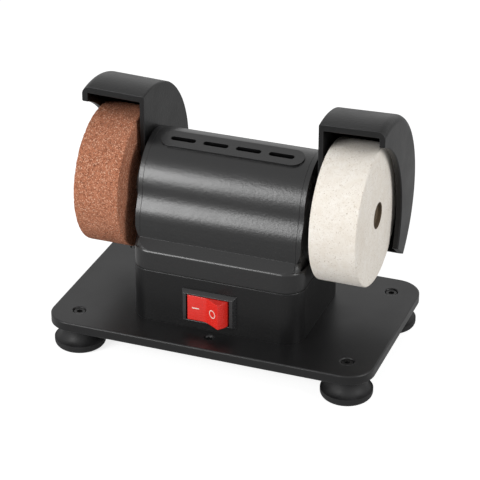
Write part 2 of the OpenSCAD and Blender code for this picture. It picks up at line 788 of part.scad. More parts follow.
module spindle() {
    r = spindle_d / 2;
    centre_r = r / 3;
    half = [[spindle_core_d / 2, 0], [spindle_core_d / 2, core_x], [spindle_mid_d / 2, core_x],
        [spindle_mid_d / 2, bearing_x0], [r, bearing_x0], [r, spindle_x - end_bevel],
        [r - end_bevel, spindle_x], [centre_r, spindle_x], [0, spindle_x - centre_r]];
    color("#a8abad") for (s = [1, -1]) on_side(s) turned(concat([[0, 0]], half));
}

module wheel_flange() {
    bore = spindle_d / 2 + seat;
    sleeve_r = sleeve_d / 2;
    rim_r = flange_d / 2;
    turned([[bore, bearing_x1], [sleeve_r, bearing_x1], [sleeve_r, flange_x0],
        [rim_r - end_bevel, flange_x0], [rim_r, flange_x0 + end_bevel], [rim_r, wheel_x0], [bore, wheel_x0]]);
}

module left_flange() {
    color("#a8abad") on_side(-1) wheel_flange();
}

module right_flange() {
    color("#a8abad") on_side(1) wheel_flange();
}

// Plain wheel with softened outer edges
module wheel() {
    bore = wheel_bore_d / 2 + seat;
    corner = function(x, a0) [for (i = [0:6]) let (a = a0 + 15 * i)
        [wheel_r - wheel_edge_r + wheel_edge_r * cos(a), x + wheel_edge_r * sin(a)]];
    turned(concat([[bore, wheel_x0]], corner(wheel_x0 + wheel_edge_r, -90),
        corner(wheel_x1 - wheel_edge_r, 0), [[bore, wheel_x1]]));
}

module stone_wheel() {
    color("#b0664a") on_side(-1) wheel();
}

module felt_wheel() {
    color("#e6ddd0") on_side(1) wheel();
}

// Bush bonded in the wheel's bore, threaded on the spindle and closed at its outer end
module hub() {
    bore = spindle_d / 2 + seat;
    bush_r = wheel_bore_d / 2;
    turned([[bore, wheel_x0], [bush_r, wheel_x0], [bush_r, hub_x1 - end_bevel],
        [bush_r - end_bevel, hub_x1], [0, hub_x1], [0, hub_x0], [bore, hub_x0]]);
}

module left_hub() {
    color("#8c7f70") on_side(-1) hub();
}

module right_hub() {
    color("#8c7f70") on_side(1) hub();
}

// Bearing ring between two radii, with the ball groove turned into it
module bearing_ring(r0, r1) {
    mid = (bearing_x0 + bearing_x1) / 2;
    difference() {
        turned([[r0, bearing_x0], [r1, bearing_x0], [r1, bearing_x1], [r0, bearing_x1]]);
        translate([mid, 0, axis_z]) rotate([0, 90, 0])
            rotate_extrude() translate([ball_pitch_r, 0]) circle(r = ball_d / 2 + ball_gap);
    }
}

module bearing_outer() {
    bearing_ring(ball_pitch_r + ring_land, bearing_d / 2);
}

module bearing_inner() {
    bearing_ring(spindle_d / 2 + seat, ball_pitch_r - ring_land);
}

module bearing_balls() {
    mid = (bearing_x0 + bearing_x1) / 2;
    for (i = [0:balls - 1]) translate([mid, 0, axis_z]) rotate([360 * i / balls, 0, 0])
        translate([0, ball_pitch_r, 0]) sphere(d = ball_d);
}

module left_bearing_outer() {
    color("#9a9da0") on_side(-1) bearing_outer();
}

module left_bearing_inner() {
    color("#9a9da0") on_side(-1) bearing_inner();
}

module left_bearing_balls() {
    color("#c8cacc") on_side(-1) bearing_balls();
}

module right_bearing_outer() {
    color("#9a9da0") on_side(1) bearing_outer();
}

module right_bearing_inner() {
    color("#9a9da0") on_side(1) bearing_inner();
}

module right_bearing_balls() {
    color("#c8cacc") on_side(1) bearing_balls();
}

// Laminated ring with open winding slots round its bore
module stator_core() {
    slot_r = (stator_d - stator_bore_d) / 8;
    slot_pitch_r = stator_bore_d / 2 + 2 * slot_r;
    mouth = slot_r * 2 / 3;
    color("#6f7276") difference() {
        turned([[stator_bore_d / 2, -stack_l / 2], [stator_d / 2, -stack_l / 2],
            [stator_d / 2, stack_l / 2], [stator_bore_d / 2, stack_l / 2]]);
        for (i = [0:stator_slots - 1])
            translate([-stack_l / 2 - over, 0, axis_z]) rotate([360 * i / stator_slots, 0, 0]) {
                translate([0, slot_pitch_r, 0]) rotate([0, 90, 0])
                    cylinder(r = slot_r, h = stack_l + 2 * over);
                translate([0, stator_bore_d / 4, -mouth / 2])
                    cube([stack_l + 2 * over, slot_pitch_r - stator_bore_d / 4, mouth]);
            }
    }
}

// Winding heads: rounded copper rings on both faces of the stack
module stator_windings() {
    inner_room = 2;
    outer_room = 3;
    r0 = stator_bore_d / 2 + inner_room;
    r1 = stator_d / 2 - outer_room;
    mid = (r0 + r1) / 2;
    bulge = [for (i = [0:12]) let (a = 15 * i)
        [mid + (r1 - r0) / 2 * cos(a), winding_x1 - winding_l / 2 + winding_l / 2 * sin(a)]];
    color("#a5561f") for (s = [1, -1]) on_side(s)
        turned(concat([[r0, stack_l / 2], [r1, stack_l / 2]], bulge));
}

module rotor_core() {
    color("#7b7e82") turned([[spindle_core_d / 2 + seat, -stack_l / 2], [rotor_r, -stack_l / 2],
        [rotor_r, stack_l / 2], [spindle_core_d / 2 + seat, stack_l / 2]]);
}

// Cast rings on both faces of the rotor, with a draft on the outside
module rotor_end_rings() {
    draft = 1;
    bore = spindle_core_d / 2 + seat;
    face = stack_l / 2;
    color("#b9bcbf") for (s = [1, -1]) on_side(s)
        turned([[bore, face], [rotor_r - draft, face], [rotor_r - 2 * draft, face + end_ring_l],
            [bore, face + end_ring_l]]);
}

// Radial fan: hub, back disc and straight blades
module cooling_fan() {
    hub_t = 4;
    disc_t = 1.6;
    bore = spindle_mid_d / 2 + seat;
    blade_r0 = spindle_mid_d / 2 + hub_t / 2;
    blade_l = fan_d / 2 - disc_t / 2 - blade_r0;
    color("#303030") on_side(-1) difference() {
        union() {
            bar_x([0, 0], spindle_mid_d / 2 + hub_t, fan_x0, fan_x0 + fan_w);
            bar_x([0, 0], fan_d / 2, fan_x0 + fan_w - disc_t, fan_x0 + fan_w);
            for (i = [0:fan_blades - 1]) translate([fan_x0, 0, axis_z]) rotate([360 * i / fan_blades, 0, 0])
                translate([0, blade_r0, -disc_t / 2]) cube([fan_w - disc_t / 2, blade_l, disc_t]);
        }
        bar_x([0, 0], bore, fan_x0 - over, fan_x0 + fan_w + over);
    }
}

// Sheet cradle: a foot on the base plate and two saddle webs under the stator
module motor_cradle() {
    saddle_z = -sqrt(pow(stator_d / 2, 2) - saddle_half * saddle_half);
    foot_z = cradle_t - axis_h;
    web = [[-cradle_d / 2, foot_z - eps], [cradle_d / 2, foot_z - eps],
        [saddle_half, saddle_z], [-saddle_half, saddle_z]];
    color("#8a8d90") difference() {
        union() {
            translate([-cradle_w / 2, -cradle_d / 2, top_z]) cube([cradle_w, cradle_d, cradle_t]);
            for (s = [-1, 1]) translate([s * cradle_pitch / 2 - cradle_t / 2, 0, axis_z])
                rotate([90, 0, 90]) linear_extrude(cradle_t) polygon(web);
        }
        bar_x([0, 0], stator_d / 2 + seat, -cradle_w, cradle_w);
        for (p = cradle_places) translate([p[0], p[1], top_z - over])
            cylinder(d = screw_d + 2 * seat, h = cradle_t + 2 * over);
    }
}

// Clip tab beside the capacitor
tab_margin = 1;
clip_hole = [capacitor_x, capacitor_y - capacitor_d / 2 - clip_t - screw_head_d / 2 - tab_margin];

module capacitor() {
    rim = 1.5;
    blade = [0.8, 6, 4];
    color("#c9ccd0") translate([capacitor_x, capacitor_y, top_z]) {
        rotate_extrude() polygon([[0, 0], [capacitor_d / 2 - rim, 0], [capacitor_d / 2, rim],
            [capacitor_d / 2, capacitor_h - rim], [capacitor_d / 2 - rim, capacitor_h], [0, capacitor_h]]);
        for (s = [-1, 1])
            translate([s * capacitor_d / 5 - blade[0] / 2, -blade[1] / 2, capacitor_h - eps]) cube(blade);
    }
}

// Strap round the capacitor with a screwed tab on the plate
module capacitor_clip() {
    r = capacitor_d / 2 + seat;
    tab = screw_head_d + 2 * tab_margin;
    tab_y = clip_hole[1] - tab / 2;
    color("#8a8d90") difference() {
        union() {
            translate([capacitor_x, capacitor_y, top_z]) cylinder(r = r + clip_t, h = clip_h);
            translate([capacitor_x - tab / 2, tab_y, top_z]) cube([tab, capacitor_y - r - tab_y, clip_t]);
        }
        translate([capacitor_x, capacitor_y, top_z - over]) cylinder(r = r, h = clip_h + 2 * over);
        translate([clip_hole[0], clip_hole[1], top_z - over])
            cylinder(d = screw_d + 2 * screw_gap, h = clip_t + 2 * over);
    }
}

module clip_screw() {
    l = screw_head_h + clip_t + plate_t - over;
    color("#5a5c5e") translate([clip_hole[0], clip_hole[1], top_z + clip_t + screw_head_h])
        mirror([0, 0, 1]) pan_screw(l);
}

// Terminal block with a row of clamp wells
module terminal_block() {
    wells = 3;
    well_d = 5;
    pitch = terminal_l / wells;
    color("#d8d4c8") translate([terminal_x, terminal_y, top_z]) difference() {
        translate([-terminal_l / 2, -terminal_d / 2, 0]) cube([terminal_l, terminal_d, terminal_h]);
        for (i = [0:wells - 1], s = [-1, 1])
            translate([(i - (wells - 1) / 2) * pitch, s * terminal_d / 4, terminal_h / 2])
                cylinder(d = well_d, h = terminal_h);
    }
}

// Tapered bezel with the switch body behind it, hollow for the rocker
module switch_frame() {
    far = bezel_y - over;
    color("#161616") difference() {
        union() {
            intersection() {
                translate([switch_x, front_y, switch_z - bezel_h]) linear_extrude(2 * bezel_h)
                    polygon([[-bezel_w / 2, 0], [bezel_slope - bezel_w / 2, -bezel_t],
                        [bezel_w / 2 - bezel_slope, -bezel_t], [bezel_w / 2, 0]]);
                translate([switch_x - bezel_w, front_y, switch_z]) rotate([90, 0, 90])
                    linear_extrude(2 * bezel_w)
                        polygon([[0, -bezel_h / 2], [0, bezel_h / 2], [-bezel_t, bezel_h / 2 - bezel_slope],
                            [-bezel_t, bezel_slope - bezel_h / 2]]);
            }
            translate([switch_x - switch_body_w / 2, front_y - eps, switch_z - switch_body_h / 2])
                cube([switch_body_w, switch_body_l + eps, switch_body_h]);
        }
        translate([switch_x - opening_w / 2, far, switch_z - opening_h / 2])
            cube([opening_w, bezel_y + cavity_depth - far, opening_h]);
        translate([switch_x, pivot_y, switch_z])
            cylinder(d = pivot_d + 2 * pivot_gap, h = opening_h + 2 * (pivot_l + pivot_gap), center = true);
    }
}

// Rocker with two dished halves and ends that are round about the pivot, at rest on its left half
module switch_rocker() {
    reach = atan2(rocker_end[0], pivot_depth - rocker_end[1]);
    hollow = [for (i = [-4:4]) let (a = i * rocker_tilt / 4)
        [rocker_hollow_r * sin(a), rocker_hollow_r * (cos(a) - 1 / cos(rocker_tilt))]];
    end_arc = [for (i = [0:8]) let (a = reach + (90 + rocker_tilt / 2 - reach) * i / 8)
        [rocker_r * sin(a), pivot_depth - rocker_r * cos(a)]];
    back = [[rocker_r / 2, pivot_depth + rocker_back], [-rocker_r / 2, pivot_depth + rocker_back]];
    outline = concat(hollow, end_arc, back, mirrored(end_arc));
    color("#d8140c") translate([switch_x, pivot_y, switch_z]) rotate([0, 0, -rocker_tilt]) {
        translate([0, -pivot_depth, 0]) linear_extrude(rocker_h, center = true) polygon(outline);
        cylinder(d = pivot_d, h = opening_h + 2 * pivot_l, center = true);
    }
}

module switch_tabs() {
    blade = [0.8, tab_l, 6.3];
    pitch = switch_body_w / 4;
    color("#b58a3a") for (i = [-1, 0, 1])
        translate([switch_x + i * pitch - blade[0] / 2, front_y + switch_body_l, switch_z - blade[2] / 2])
            cube(blade);
}

// Gland: domed cap, hexagon collar and threaded shank with the cord passage
module cord_gland() {
    cap_t = 1;
    cap_round = 3;
    cap_r = gland_d / 2 + cap_t;
    shank_l = wall + gland_nut_h + 2 * over;
    cap_y = gland_nut_h + gland_cap_l;
    dome = [for (i = [0:6]) let (a = 15 * i)
        [cap_r - cap_round + cap_round * cos(a), cap_y - cap_round + cap_round * sin(a)]];
    color("#1a1a1a") translate([gland_x, -front_y, top_z + gland_h]) rotate([-90, 0, 0]) difference() {
        union() {
            translate([0, 0, -shank_l]) cylinder(d = gland_d, h = shank_l + eps);
            cylinder(d = gland_flats / cos(30), h = gland_nut_h, $fn = 6);
            rotate_extrude()
                polygon(concat([[0, gland_nut_h - eps], [cap_r, gland_nut_h - eps]], dome, [[0, cap_y]]));
        }
        translate([0, 0, -shank_l - over]) cylinder(d = gland_bore_d, h = shank_l + cap_y + 2 * over);
    }
}

module gland_locknut() {
    nut_y = -front_y - wall;
    color("#1a1a1a") translate([gland_x, nut_y, top_z + gland_h]) rotate([90, 0, 0]) difference() {
        cylinder(d = gland_flats / cos(30), h = gland_nut_h, $fn = 6);
        translate([0, 0, -over]) cylinder(d = gland_d + 2 * seat, h = gland_nut_h + 2 * over);
    }
}

base_plate();
rubber_feet();
foot_inserts();
foot_screws();
housing_base();
housing_shell();
left_end_cover();
right_end_cover();
housing_screws();
cover_screws();
left_guard();
right_guard();
guard_screws();
spindle();
left_flange();
right_flange();
stone_wheel();
felt_wheel();
left_hub();
right_hub();
left_bearing_outer();
left_bearing_inner();
left_bearing_balls();
right_bearing_outer();
right_bearing_inner();
right_bearing_balls();
stator_core();
stator_windings();
rotor_core();
rotor_end_rings();
cooling_fan();
motor_cradle();
cradle_screws();
capacitor();
capacitor_clip();
clip_screw();
terminal_block();
switch_frame();
switch_rocker();
switch_tabs();
cord_gland();
gland_locknut();
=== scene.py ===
"""Mini bench grinder on a plain white table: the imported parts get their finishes, and the upper housing,
the two wheels, the marks on the rocker and the studio round them are made here."""
import json
import math
import bpy
import bmesh
from mathutils import Matrix, Vector, noise

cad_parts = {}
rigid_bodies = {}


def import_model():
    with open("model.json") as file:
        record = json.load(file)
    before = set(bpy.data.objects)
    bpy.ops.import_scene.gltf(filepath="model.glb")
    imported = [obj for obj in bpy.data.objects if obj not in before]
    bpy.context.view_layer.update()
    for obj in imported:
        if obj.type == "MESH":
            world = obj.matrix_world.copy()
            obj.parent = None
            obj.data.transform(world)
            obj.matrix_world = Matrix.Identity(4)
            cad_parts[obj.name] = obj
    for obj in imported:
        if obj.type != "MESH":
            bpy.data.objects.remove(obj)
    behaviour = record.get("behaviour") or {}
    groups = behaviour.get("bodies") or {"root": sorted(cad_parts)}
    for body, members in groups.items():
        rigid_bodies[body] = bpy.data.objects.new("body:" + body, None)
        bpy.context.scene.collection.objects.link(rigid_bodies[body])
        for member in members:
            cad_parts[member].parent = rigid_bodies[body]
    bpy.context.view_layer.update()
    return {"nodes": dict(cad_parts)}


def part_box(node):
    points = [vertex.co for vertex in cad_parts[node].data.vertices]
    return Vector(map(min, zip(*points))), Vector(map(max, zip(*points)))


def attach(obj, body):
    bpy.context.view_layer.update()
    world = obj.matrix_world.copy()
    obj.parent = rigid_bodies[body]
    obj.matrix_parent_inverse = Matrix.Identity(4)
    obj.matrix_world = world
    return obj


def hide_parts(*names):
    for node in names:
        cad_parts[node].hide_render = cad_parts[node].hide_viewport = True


for spare in list(bpy.data.objects):
    bpy.data.objects.remove(spare, do_unlink=True)
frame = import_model()
parts = frame["nodes"]


# Base plate: a slab of mild steel, 300 x 180 mm and 9 mm thick, cut with round corners and drilled.
# It is powder coated satin black, so it shows a fine orange peel; its bevelled edges are painted paler,
# partly as rubbed wear and partly as a painted highlight along them.
PLATE_BLACK = (0.0045, 0.0045, 0.0047, 1.0)
PLATE_BLACK_THIN = (0.0068, 0.0068, 0.0071, 1.0)
PLATE_BLOTCH = 0.035
PLATE_DUST = (0.03, 0.03, 0.0295, 1.0)
PLATE_DUST_MOST = 0.35
PLATE_SPECK = 0.0006
# Paler edge colour: partly rubbed wear, partly a painted highlight along the sharp edges.
PLATE_EDGE_WEAR_AND_HIGHLIGHT = (0.04, 0.04, 0.042, 1.0)
PLATE_EDGE_WEAR_AND_HIGHLIGHT_MOST = 0.7
PLATE_EDGE = 0.0014
PLATE_GLOSS = (0.34, 0.42)
PLATE_HANDLED = 0.02
PLATE_MIRROR = 0.32
PEEL_SIZE = 0.0012
PEEL_DEPTH = 0.00006
COAT_GRAIN_SIZE = 0.0003
COAT_GRAIN_DEPTH = 0.00003
EVEN = (1.0, 1.0, 1.0)
EDGE_SAMPLES = 8
EDGE_SPAN = (0.985, 0.86)
CREASE = math.radians(28.0)
SAME_PLACE = 1e-6


def add_node(tree, kind, settings=None, inputs=None):
    """One shader node with its settings, and its inputs set to values or linked to sockets."""
    made = tree.nodes.new("ShaderNode" + kind)
    for key, value in (settings or {}).items():
        setattr(made, key, value)
    for key, value in (inputs or {}).items():
        feed(tree, made.inputs[key], value)
    return made


def feed(tree, socket, value):
    """Links a socket to another one, or sets a plain value on it."""
    if isinstance(value, bpy.types.NodeSocket):
        tree.links.new(value, socket)
    else:
        socket.default_value = value


def new_finish(name):
    """A material with a bare shader, and the coordinates of the part's own frame in metres."""
    finish = bpy.data.materials.new(name)
    finish.use_nodes = True
    tree = finish.node_tree
    shader = tree.nodes["Principled BSDF"]
    place = add_node(tree, "TexCoord").outputs["Object"]
    return finish, tree, shader, place


def set_finish(tree, shader, colour, roughness, normal=None, mirror=None):
    """Gives a shader its colour, roughness, relief and the strength of its mirror."""
    feed(tree, shader.inputs["Base Color"], colour)
    feed(tree, shader.inputs["Roughness"], roughness)
    if normal is not None:
        feed(tree, shader.inputs["Normal"], normal)
    if mirror is not None:
        shader.inputs["Specular IOR Level"].default_value = mirror


def clouds(tree, place, size, detail=3.0, stretch=EVEN, roughness=0.55):
    """Soft noise from 0 to 1 whose blotches are about size metres across."""
    if stretch != EVEN:
        place = add_node(tree, "Mapping", None, {"Vector": place, "Scale": stretch}).outputs["Vector"]
    made = add_node(tree, "TexNoise", {"normalize": True}, {
        "Vector": place, "Scale": 0.5 / size, "Detail": detail, "Roughness": roughness})
    return made.outputs["Fac"]


def between(tree, value, low, high, to_low=0.0, to_high=1.0):
    """The value's span from low to high, moved to another span."""
    made = add_node(tree, "MapRange", None, {
        "Value": value, "From Min": low, "From Max": high, "To Min": to_low, "To Max": to_high})
    return made.outputs["Result"]


def up_to(tree, share, most):
    """A share from 0 to 1, scaled to go from 0 to most."""
    return between(tree, share, 0.0, 1.0, 0.0, most)


def blend_colours(tree, factor, first, second):
    """First colour where the factor is 0, second colour where it is 1."""
    made = add_node(tree, "Mix", {"data_type": "RGBA"}, {0: factor, 6: first, 7: second})
    return made.outputs[2]


def relief(tree, height, depth, strength=1.0, under=None):
    """Surface normal of a relief that is depth metres high."""
    inputs = {"Height": height, "Distance": depth, "Strength": strength}
    if under is not None:
        inputs["Normal"] = under
    return add_node(tree, "Bump", None, inputs).outputs["Normal"]


def rounded_edges(tree, width):
    """Surface normal with the part's sharp edges rounded over by width metres."""
    return add_node(tree, "Bevel", {"samples": EDGE_SAMPLES}, {"Radius": width}).outputs["Normal"]


# This mask paints sharp edges paler, convex and concave alike: partly rubbed wear, partly a painted
# highlight.
def edge_wear_and_highlight_mask(tree, round_normal):
    """About 1 along the part's sharp edges and 0 on its faces."""
    face_normal = add_node(tree, "NewGeometry").outputs["Normal"]
    agree = add_node(tree, "VectorMath", {"operation": "DOT_PRODUCT"}, {0: round_normal, 1: face_normal})
    return between(tree, agree.outputs["Value"], *EDGE_SPAN)


def smooth_faces(part):
    """Shades the part's curved faces smoothly and keeps its real edges sharp."""
    group = bpy.data.node_groups.get("smooth_faces")
    if group is None:
        group = bpy.data.node_groups.new("smooth_faces", "GeometryNodeTree")
        group.interface.new_socket("Geometry", in_out="INPUT", socket_type="NodeSocketGeometry")
        group.interface.new_socket("Geometry", in_out="OUTPUT", socket_type="NodeSocketGeometry")
        enter = group.nodes.new("NodeGroupInput")
        leave = group.nodes.new("NodeGroupOutput")
        merge = group.nodes.new("GeometryNodeMergeByDistance")
        merge.inputs["Distance"].default_value = SAME_PLACE
        angle = group.nodes.new("GeometryNodeInputMeshEdgeAngle")
        sharp = group.nodes.new("FunctionNodeCompare")
        sharp.operation = "GREATER_THAN"
        sharp.inputs[1].default_value = CREASE
        soft = group.nodes.new("GeometryNodeSetShadeSmooth")
        hard = group.nodes.new("GeometryNodeSetShadeSmooth")
        hard.domain = "EDGE"
        hard.inputs["Shade Smooth"].default_value = False
        group.links.new(enter.outputs[0], merge.inputs["Geometry"])
        group.links.new(merge.outputs["Geometry"], soft.inputs["Geometry"])
        group.links.new(soft.outputs["Geometry"], hard.inputs["Geometry"])
        group.links.new(angle.outputs["Unsigned Angle"], sharp.inputs[0])
        group.links.new(sharp.outputs["Result"], hard.inputs["Selection"])
        group.links.new(hard.outputs["Geometry"], leave.inputs[0])
    part.modifiers.new("smooth_faces", "NODES").node_group = group


def dress(names, finish):
    """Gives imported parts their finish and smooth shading."""
    for name in names:
        part = parts[name]
        if not part.material_slots:
            part.data.materials.append(finish)
        for slot in part.material_slots:
            slot.material = finish
        smooth_faces(part)


plate_coat, tree, shader, place = new_finish("plate_powder_coat")
blotches = clouds(tree, place, PLATE_BLOTCH)
dust = between(tree, clouds(tree, place, PLATE_SPECK, detail=2.0), 0.66, 0.76)
rounded = rounded_edges(tree, PLATE_EDGE)
edge_wear_and_highlight = edge_wear_and_highlight_mask(tree, rounded)
coat = blend_colours(tree, blotches, PLATE_BLACK, PLATE_BLACK_THIN)
coat = blend_colours(tree, up_to(tree, dust, PLATE_DUST_MOST), coat, PLATE_DUST)
# The sharp edges are painted paler: partly rubbed wear, partly a painted highlight along them.
coat = blend_colours(tree, up_to(tree, edge_wear_and_highlight, PLATE_EDGE_WEAR_AND_HIGHLIGHT_MOST), coat, PLATE_EDGE_WEAR_AND_HIGHLIGHT)
gloss = between(tree, clouds(tree, place, PLATE_HANDLED, detail=4.0), 0.3, 0.7, *PLATE_GLOSS)
peel = relief(tree, clouds(tree, place, PEEL_SIZE, detail=2.0), PEEL_DEPTH, strength=0.4, under=rounded)
coat_grain = clouds(tree, place, COAT_GRAIN_SIZE, detail=1.0)
skin = relief(tree, coat_grain, COAT_GRAIN_DEPTH, strength=0.3, under=peel)
set_finish(tree, shader, coat, gloss, skin, PLATE_MIRROR)
dress(["base_plate"], plate_coat)


# Feet: four flared buffers of black rubber, moulded round a threaded steel insert.
# A blackened socket screw in each corner pocket of the plate holds one from above.
RUBBER_BLACK = (0.006, 0.006, 0.0063, 1.0)
RUBBER_BLOOM = (0.014, 0.014, 0.0145, 1.0)
RUBBER_BLOOM_SIZE = 0.006
RUBBER_GLOSS = (0.52, 0.72)
RUBBER_MIRROR = 0.3
RUBBER_GRAIN_SIZE = 0.0007
RUBBER_GRAIN_DEPTH = 0.00012
STAIN_SIZE = 0.008
STAIN_MOST = 0.6
TOOL_MARK_DEPTH = 0.00003

foot_rubber, tree, shader, place = new_finish("foot_rubber")
bloom = between(tree, clouds(tree, place, RUBBER_BLOOM_SIZE, detail=4.0), 0.35, 0.75)
tone = blend_colours(tree, bloom, RUBBER_BLACK, RUBBER_BLOOM)
gloss = between(tree, bloom, 0.0, 1.0, *RUBBER_GLOSS)
skin = relief(tree, clouds(tree, place, RUBBER_GRAIN_SIZE, detail=3.0), RUBBER_GRAIN_DEPTH, strength=0.5)
set_finish(tree, shader, tone, gloss, skin, RUBBER_MIRROR)
dress(["rubber_feet"], foot_rubber)


def metal_finish(name, colour, dull, roughness, marks=EVEN, size=0.0005):
    """Bare metal with tool marks of a size: marks squeezes them along X, Y and Z."""
    finish, tree, shader, place = new_finish(name)
    lines = clouds(tree, place, size, detail=3.0, stretch=marks)
    stains = clouds(tree, place, STAIN_SIZE, detail=4.0)
    tone = blend_colours(tree, between(tree, lines, 0.3, 0.7), colour, dull)
    tone = blend_colours(tree, between(tree, stains, 0.45, 0.8, 0.0, STAIN_MOST), tone, dull)
    gloss = between(tree, stains, 0.25, 0.75, roughness - 0.06, roughness + 0.1)
    set_finish(tree, shader, tone, gloss, relief(tree, lines, TOOL_MARK_DEPTH, strength=0.5))
    shader.inputs["Metallic"].default_value = 1.0
    return finish


blackened_steel = metal_finish("blackened_steel", colour=(0.055, 0.054, 0.053, 1.0),
                               dull=(0.03, 0.03, 0.031, 1.0), roughness=0.42)
zinc_steel = metal_finish("zinc_plated_steel", colour=(0.50, 0.51, 0.52, 1.0),
                          dull=(0.38, 0.38, 0.37, 1.0), roughness=0.34, marks=(1.0, 1.0, 0.25))
dress(["foot_screws"], blackened_steel)
dress(["foot_inserts"], zinc_steel)


# Housing base: an open box of black nylon, injection moulded with a spark-eroded grain.
# Four long screws from under the plate clamp it between the plate and the upper shell.
HOUSING_BLACK = (0.0034, 0.0034, 0.0036, 1.0)
HOUSING_FLOW = (0.0050, 0.0050, 0.0052, 1.0)
# Paler edge colours of the plastics: partly rubbed wear, partly a painted highlight along sharp edges.
BASE_EDGE_WEAR_AND_HIGHLIGHT = (0.06, 0.06, 0.062, 1.0)
EDGE_WEAR_AND_HIGHLIGHT_MOST = 0.6
FLOW_SIZE = 0.03
FLOW_STRETCH = (1.0, 1.0, 0.4)
HANDLED_SIZE = 0.012
PIT_SMOOTH = 0.6
PIT_DEPTH = 0.10
STIPPLE_SIZE = 0.0014
STIPPLE_DEPTH = 0.00013
SINK_SIZE = 0.004
SINK_DEPTH = 0.00006


def moulded_finish(name, colours, gloss, grain, mirror, edge_round=0.0006):
    """Moulded black plastic: its skin, flow marks and edges painted paler, partly as rubbed wear and partly
    as a painted highlight, in three colours, and an even grain.
    """
    black, flow, edge_wear_and_highlight = colours
    finish, tree, shader, place = new_finish(name)
    flow_marks = clouds(tree, place, FLOW_SIZE, detail=4.0, stretch=FLOW_STRETCH)
    handling = clouds(tree, place, HANDLED_SIZE, detail=5.0)
    rounded = rounded_edges(tree, edge_round)
    edge = edge_wear_and_highlight_mask(tree, rounded)
    tone = blend_colours(tree, flow_marks, black, flow)
    # Sharp edges, concave ones too, are painted paler: partly rubbed wear, partly a painted highlight.
    tone = blend_colours(tree, up_to(tree, edge, EDGE_WEAR_AND_HIGHLIGHT_MOST), tone, edge_wear_and_highlight)
    pits = add_node(tree, "TexVoronoi", {"feature": "SMOOTH_F1"}, {
        "Vector": place, "Scale": 1.0 / grain, "Smoothness": PIT_SMOOTH}).outputs["Distance"]
    skin = relief(tree, pits, grain * PIT_DEPTH, strength=0.45, under=rounded)
    stipple = clouds(tree, place, STIPPLE_SIZE, detail=2.0)
    skin = relief(tree, stipple, STIPPLE_DEPTH, strength=0.9, under=skin)
    sinks = clouds(tree, place, SINK_SIZE, detail=2.0)
    skin = relief(tree, sinks, SINK_DEPTH, strength=0.3, under=skin)
    set_finish(tree, shader, tone, between(tree, handling, 0.25, 0.75, *gloss), skin, mirror)
    return finish


base_plastic = moulded_finish("housing_base_plastic", (HOUSING_BLACK, HOUSING_FLOW, BASE_EDGE_WEAR_AND_HIGHLIGHT),
                              gloss=(0.33, 0.39), grain=0.0007, mirror=0.29, edge_round=0.0010)
dress(["housing_base"], base_plastic)
dress(["housing_screws"], zinc_steel)


# Motor: a laminated stator with varnished windings sits in a bent sheet cradle on the plate.
# The cast rotor, the fan, the run capacitor in its clip and the terminal block are round it.
laminated_steel = metal_finish("laminated_steel", colour=(0.20, 0.20, 0.21, 1.0),
                               dull=(0.11, 0.10, 0.095, 1.0), roughness=0.45, marks=(6.0, 0.3, 0.3))
cast_aluminium = metal_finish("cast_aluminium", colour=(0.70, 0.71, 0.73, 1.0),
                              dull=(0.55, 0.55, 0.56, 1.0), roughness=0.38, size=0.0008)
bent_sheet = metal_finish("bent_sheet", colour=(0.52, 0.53, 0.54, 1.0),
                          dull=(0.42, 0.42, 0.41, 1.0), roughness=0.36, marks=(0.2, 1.0, 1.0))
dress(["stator_core", "rotor_core"], laminated_steel)
dress(["rotor_end_rings", "capacitor"], cast_aluminium)
dress(["motor_cradle", "capacitor_clip"], bent_sheet)
dress(["cradle_screws", "clip_screw"], zinc_steel)

WIRE_COPPER = (0.46, 0.19, 0.07, 1.0)
WIRE_VARNISH = (0.20, 0.075, 0.025, 1.0)
WIRE_TURNS = 420.0
WIRE_DEPTH = 0.0004
WIRE_METAL = 0.85
VARNISH_SIZE = 0.005
VARNISH_MOST = 0.5
VARNISH_GLOSS = (0.25, 0.4)
copper_wire, tree, shader, place = new_finish("varnished_copper")
turns = add_node(tree, "TexWave", {"wave_type": "RINGS", "rings_direction": "X"}, {
    "Vector": place, "Scale": WIRE_TURNS, "Distortion": 1.5,
    "Detail": 2.0, "Detail Scale": 3.0}).outputs["Fac"]
soaked = clouds(tree, place, VARNISH_SIZE, detail=3.0)
tone = blend_colours(tree, turns, WIRE_VARNISH, WIRE_COPPER)
tone = blend_colours(tree, between(tree, soaked, 0.4, 0.8, 0.0, VARNISH_MOST), tone, WIRE_VARNISH)
gloss = between(tree, soaked, 0.3, 0.7, *VARNISH_GLOSS)
set_finish(tree, shader, tone, gloss, relief(tree, turns, WIRE_DEPTH, strength=0.6))
shader.inputs["Metallic"].default_value = WIRE_METAL
dress(["stator_windings"], copper_wire)

TERMINAL_CREAM = (0.68, 0.65, 0.57, 1.0)
TERMINAL_YELLOWED = (0.60, 0.54, 0.42, 1.0)
TERMINAL_AGED = 0.006
TERMINAL_GLOSS = (0.4, 0.52)
TERMINAL_GRAIN_SIZE = 0.0005
TERMINAL_GRAIN_DEPTH = 0.00005
terminal_plastic, tree, shader, place = new_finish("terminal_plastic")
aged = clouds(tree, place, TERMINAL_AGED, detail=3.0)
tone = blend_colours(tree, aged, TERMINAL_CREAM, TERMINAL_YELLOWED)
skin = relief(tree, clouds(tree, place, TERMINAL_GRAIN_SIZE, detail=2.0), TERMINAL_GRAIN_DEPTH, strength=0.4)
set_finish(tree, shader, tone, between(tree, aged, 0.3, 0.7, *TERMINAL_GLOSS), skin)
dress(["terminal_block"], terminal_plastic)

FAN_BLACK = (0.03, 0.03, 0.031, 1.0)
FAN_FLOW = (0.042, 0.042, 0.043, 1.0)
FAN_EDGE_WEAR_AND_HIGHLIGHT = (0.07, 0.07, 0.072, 1.0)
fan_plastic = moulded_finish("fan_plastic", (FAN_BLACK, FAN_FLOW, FAN_EDGE_WEAR_AND_HIGHLIGHT),
                             gloss=(0.45, 0.53), grain=0.0007, mirror=0.4)
dress(["cooling_fan"], fan_plastic)


